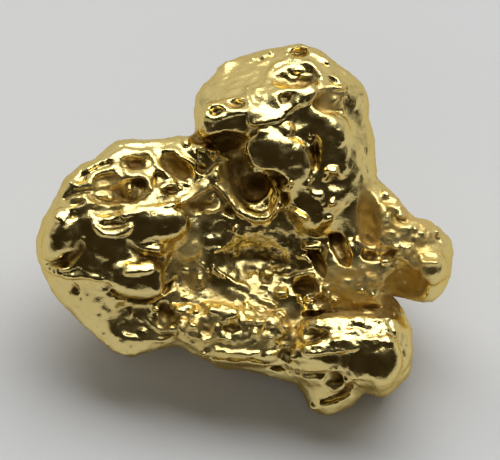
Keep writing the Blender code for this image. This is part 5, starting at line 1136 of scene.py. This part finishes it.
def skin_tree():
    """Geometry nodes that read the lattice's values into a volume and draw its skin."""
    tree = bpy.data.node_groups.new("skin of a lattice", "GeometryNodeTree")
    kinds = {"Geometry": ("Lattice",),
             "Vector": ("Low corner", "High corner", "Counts", "Steps per millimetre"),
             "Float": ("Skew length", "Skew reach", "Fine skew length", "Fine skew reach", "Grain length",
                       "Grain reach", "Rough reach", "Scallop length", "Scallop reach"),
             "Material": ("Metal",)}
    for kind, names in kinds.items():
        for name in names:
            tree.interface.new_socket(name, in_out="INPUT", socket_type="NodeSocket" + kind)
    tree.interface.new_socket("Skin", in_out="OUTPUT", socket_type="NodeSocketGeometry")
    given = add_node(tree, "NodeGroupInput").outputs

    place = add_node(tree, "GeometryNodeInputPosition")
    offset = add_node(tree, "ShaderNodeVectorMath", {0: place, 1: given["Low corner"]}, operation="SUBTRACT")
    cell = add_node(tree, "ShaderNodeVectorMath", {0: offset, 1: given["Steps per millimetre"]},
                    operation="MULTIPLY")
    cells = add_node(tree, "ShaderNodeSeparateXYZ", {0: cell}).outputs
    counts = add_node(tree, "ShaderNodeSeparateXYZ", {0: given["Counts"]}).outputs
    index, j, k, rows, columns, layers = (add_node(tree, "FunctionNodeFloatToInt", {0: value})
                                          for value in (*cells, *counts))
    for length, further in ((columns, j), (layers, k)):
        line = add_node(tree, "FunctionNodeIntegerMath", {0: index, 1: length}, operation="MULTIPLY")
        index = add_node(tree, "FunctionNodeIntegerMath", {0: line, 1: further}, operation="ADD")

    def read(attribute):
        value = add_node(tree, "GeometryNodeInputNamedAttribute", {"Name": attribute}, data_type="FLOAT")
        return add_node(tree, "GeometryNodeSampleIndex",
                        {"Geometry": given["Lattice"], "Value": value, "Index": index},
                        data_type="FLOAT", domain="POINT", clamp=True)

    volume = add_node(tree, "GeometryNodeVolumeCube",
                      {"Density": read("level"), "Background": 0.0,
                       "Min": given["Low corner"], "Max": given["High corner"],
                       "Resolution X": rows, "Resolution Y": columns, "Resolution Z": layers})
    skin = add_node(tree, "GeometryNodeVolumeToMesh", {"Volume": volume, "Threshold": 0.5},
                    resolution_mode="GRID")
    for attribute in ("hollow", *WORN_AND_REFLECTION_KINDS):
        skin = add_node(tree, "GeometryNodeStoreNamedAttribute",
                        {"Geometry": skin, "Name": attribute, "Value": read(attribute)},
                        data_type="FLOAT", domain="POINT")
    for move in (skew(tree, given["Skew length"], given["Skew reach"]),
                 skew(tree, given["Fine skew length"], given["Fine skew reach"]),
                 scallops(tree, given["Scallop length"], given["Scallop reach"]),
                 grain(tree, given["Grain length"], given["Grain reach"], given["Rough reach"])):
        skin = add_node(tree, "GeometryNodeSetPosition", {"Geometry": skin, "Offset": move})
    real = add_node(tree, "GeometryNodeRealizeInstances", {"Geometry": skin})
    metal = add_node(tree, "GeometryNodeSetMaterial", {"Geometry": real, "Material": given["Metal"]})
    add_node(tree, "NodeGroupOutput", {"Skin": metal})
    return tree


def put(thing):
    bpy.context.scene.collection.objects.link(thing)


def triangles(mesh):
    mesh.calc_loop_triangles()
    return len(mesh.loop_triangles)


def draw_skin(form, name, metal):
    """A closed mesh where the form's distance passes through zero, in the face's own frame."""
    values = {"level": np.clip(0.5 - form.field / (LEVEL_STEPS * form.step), 0.0, 1.0),
              "hollow": hollowness(form)}
    for which, kind in enumerate(WORN_AND_REFLECTION_KINDS):
        values[kind] = worn(form, which)
    lattice = bpy.data.meshes.new("lattice")
    lattice.vertices.add(int(form.count.prod()))
    for kind, value in values.items():
        held = lattice.attributes.new(kind, "FLOAT", "POINT").data
        held.foreach_set("value", np.broadcast_to(value, form.field.shape).astype(np.float32).ravel())
    holder = bpy.data.objects.new("lattice", lattice)
    put(holder)
    skin = holder.modifiers.new("Skin", "NODES")
    skin.node_group = skin_tree()
    high = form.low + form.step * (form.count - 1)
    inputs = {"Low corner": form.low.tolist(), "High corner": high.tolist(),
              "Counts": form.count.astype(float).tolist(), "Steps per millimetre": [1.0 / form.step] * 3,
              "Skew length": SKEW[0], "Skew reach": SKEW[1],
              "Fine skew length": FINE_SKEW[0], "Fine skew reach": FINE_SKEW[1],
              "Grain length": GRAIN[0], "Grain reach": GRAIN[1], "Rough reach": GRAIN[2],
              "Scallop length": SCALLOPS[0], "Scallop reach": SCALLOPS[1], "Metal": metal}
    for item in skin.node_group.interface.items_tree:
        if item.name in inputs:
            skin[item.identifier] = inputs[item.name]
    thin = holder.modifiers.new("Fewer faces", "DECIMATE")
    thin.ratio = 1.0
    graph = bpy.context.evaluated_depsgraph_get()
    thin.ratio = TRIANGLES / triangles(holder.evaluated_get(graph).data)
    graph = bpy.context.evaluated_depsgraph_get()
    mesh = bpy.data.meshes.new_from_object(holder.evaluated_get(graph))
    mesh.name = name
    bpy.data.objects.remove(holder)
    bpy.data.meshes.remove(lattice)
    return mesh


def face_to_table():
    """The turn and shift from the face's own frame to the nugget's, standing on the table."""
    tilt = math.radians(FACE_TILT)
    x, y, z = FACE_ORIGIN
    return Matrix(((1.0, 0.0, 0.0, x),
                   (0.0, math.sin(tilt), -math.cos(tilt), y),
                   (0.0, math.cos(tilt), math.sin(tilt), z),
                   (0.0, 0.0, 0.0, 1.0)))


def colour(code):
    """An sRGB hex code as linear red, green, blue and alpha."""
    parts = [int(code[i:i + 2], 16) / 255 for i in (0, 2, 4)]
    return tuple(c / 12.92 if c < 0.04045 else ((c + 0.055) / 1.055) ** 2.4 for c in parts) + (1.0,)


def native_gold():
    """Native gold with silver in it: pale greenish yellow, worn almost to a polish, duller in patches; dirt
    and painted shade brown its hollows, and a tan film of iron stain and painted brown reflection lies in
    patches.
    """
    material = bpy.data.materials.new("native gold")
    material.use_nodes = True
    tree = material.node_tree
    shader = tree.nodes["Principled BSDF"]
    shader.inputs["Specular Tint"].default_value = colour(GOLD_ASLANT)
    place = add_node(tree, "ShaderNodeTexCoord").outputs["Object"]
    patches, wear, pores = (
        add_node(tree, "ShaderNodeTexNoise", {"Vector": place, "Scale": 1 / (length * MM), "Detail": detail})
        for length, detail in ((SHADE_LENGTH, 3.0), (WEAR_LENGTH, 4.0), (PORE_LENGTH, 2.0)))
    hollow, rough, matt, stain_and_reflection = (
        add_node(tree, "ShaderNodeAttribute", attribute_name=kind).outputs["Fac"]
        for kind in ("hollow", *WORN_AND_REFLECTION_KINDS))
    # Dirt and painted shade: the deeper the hollow, the more the colour turns a dark earth brown and the
    # rougher it gets.
    dirt_and_shade = add_node(tree, "ShaderNodeMapRange",
                    {"Value": hollow, "From Min": DIRT_AND_SHADE_BETWEEN[0], "From Max": DIRT_AND_SHADE_BETWEEN[1]})

    shade = colour(GOLD_DEEP)
    for share, code in ((patches, GOLD_PALE), (dirt_and_shade, DIRT_AND_SHADE), (stain_and_reflection, FILM_AND_REFLECTION)):
        mixed = add_node(tree, "ShaderNodeMix", {0: share, 6: shade, 7: colour(code)}, data_type="RGBA")
        shade = mixed.outputs[2]
    # Painted reflection: where the tan film lies, standing for iron stain and for the brown the gold mirrors
    # from itself, it also hides part of the metal's mirror.
    bare = add_node(tree, "ShaderNodeMath", {0: stain_and_reflection, 1: -FILM_AND_REFLECTION_COVERS, 2: 1.0}, operation="MULTIPLY_ADD")

    dull = add_node(tree, "ShaderNodeMapRange",
                    {"Value": wear, "From Min": WEAR_BETWEEN[0], "From Max": WEAR_BETWEEN[1],
                     "To Min": POLISH[0], "To Max": POLISH[1]})
    for share, more in ((matt, MATT_ROUGHENS), (dirt_and_shade, DIRT_AND_SHADE_ROUGHENS)):
        dull = add_node(tree, "ShaderNodeMath", {0: share, 1: more, 2: dull}, operation="MULTIPLY_ADD")

    bent = add_node(tree, "ShaderNodeVectorMath",
                    {0: wear.outputs["Color"], 1: (DENT_BEND * MM,) * 3, 2: place}, operation="MULTIPLY_ADD")
    dents = add_node(tree, "ShaderNodeTexVoronoi", {"Vector": bent, "Scale": 1 / (DENT_LENGTH * MM)})
    uneven = add_node(tree, "ShaderNodeMath", {0: rough, 1: dents}, operation="MULTIPLY")
    height = add_node(tree, "ShaderNodeMath", {0: uneven, 1: DENT_DEPTH, 2: pores}, operation="MULTIPLY_ADD")
    bump = add_node(tree, "ShaderNodeBump", {"Height": height, "Distance": BUMP_DEPTH * MM, "Strength": 1.0})

    for socket, source in (("Base Color", shade), ("Metallic", bare.outputs[0]),
                           ("Roughness", dull.outputs[0]), ("Normal", bump.outputs[0])):
        tree.links.new(source, shader.inputs[socket])
    return material


def rest_on_table(mesh):
    """Lifts what the roughening moved under the table back up to it."""
    places = np.empty(3 * len(mesh.vertices), dtype=np.float32)
    mesh.vertices.foreach_get("co", places)
    places[2::3] = np.maximum(places[2::3], 0.0)
    mesh.vertices.foreach_set("co", places)


def nugget():
    """The nugget's finished surface, in place of its plain solid."""
    mesh = draw_skin(nugget_form(LATTICE_STEP), "nugget surface", native_gold())
    mesh.transform(Matrix.Scale(MM, 4) @ face_to_table())
    rest_on_table(mesh)
    piece = bpy.data.objects.new("nugget_surface", mesh)
    put(piece)
    mesh.shade_smooth()
    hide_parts("nugget")
    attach(piece, "root")


def laminate():
    """Matt white laminate: pale, with hardly any gloss."""
    material = bpy.data.materials.new("matt white laminate")
    material.use_nodes = True
    shader = material.node_tree.nodes["Principled BSDF"]
    shader.inputs["Base Color"].default_value = colour(TABLE_COLOUR)
    shader.inputs["Roughness"].default_value = TABLE_ROUGHNESS
    return material


def table():
    """The pale matt table that the nugget lies on."""
    bpy.ops.mesh.primitive_plane_add(size=TABLE_WIDTH * MM)
    top = bpy.context.object
    top.name = "table"
    top.data.materials.append(laminate())


def room():
    """A soft room, dark in front of the table and pale behind it."""
    world = bpy.data.worlds.new("room")
    world.use_nodes = True
    tree = world.node_tree
    way = add_node(tree, "ShaderNodeTexCoord").outputs["Generated"]
    back = add_node(tree, "ShaderNodeSeparateXYZ", {0: way}).outputs["Y"]
    share = add_node(tree, "ShaderNodeMapRange",
                     {"Value": back, "From Min": ROOM_TURN[0], "From Max": ROOM_TURN[1]})
    shade = add_node(tree, "ShaderNodeMix", {0: share, 6: colour(ROOM_FRONT), 7: colour(ROOM_BACK)},
                     data_type="RGBA").outputs[2]
    tree.links.new(shade, tree.nodes["Background"].inputs["Color"])
    bpy.context.scene.world = world


def area_light(name, shape, place, power):
    """A broad light that looks at the nugget."""
    light = bpy.data.lights.new(name, "AREA")
    light.shape = shape
    light.energy = power
    holder = bpy.data.objects.new(name, light)
    holder.location = Vector(place) * MM
    holder.rotation_euler = (-holder.location).to_track_quat("-Z", "Y").to_euler()
    put(holder)
    return holder


def lamp():
    """One broad soft lamp over the table, a little behind the nugget."""
    light = area_light("lamp", "ELLIPSE", LAMP_PLACE, LAMP_POWER).data
    light.size = LAMP_WIDTH * MM
    light.size_y = LAMP_DEPTH * MM
    light.color = colour(LAMP_COLOUR)[:3]


def fill():
    """A weak broad light from in front, for the table's shadow; the metal doesn't mirror it."""
    holder = area_light("fill", "DISK", FILL_PLACE, FILL_POWER)
    holder.data.size = FILL_WIDTH * MM
    holder.visible_glossy = False


def camera():
    """Looks straight at the broad face."""
    lens = bpy.data.cameras.new("camera")
    lens.lens = lens.sensor_width * CAMERA_DISTANCE / PICTURE_WIDTH
    lens.clip_start = CAMERA_NEAREST * MM
    holder = bpy.data.objects.new("camera", lens)
    tilt = math.radians(CAMERA_ELEVATION)
    target = Vector(FACE_ORIGIN) * MM
    away = Vector((0.0, -math.cos(tilt), math.sin(tilt)))
    holder.location = target + away * CAMERA_DISTANCE * MM
    holder.rotation_euler = (-away).to_track_quat("-Z", "Y").to_euler()
    put(holder)
    bpy.context.scene.camera = holder


def main():
    nugget()
    table()
    room()
    lamp()
    fill()
    camera()
    bpy.context.scene.view_settings.view_transform = "Standard"


main()
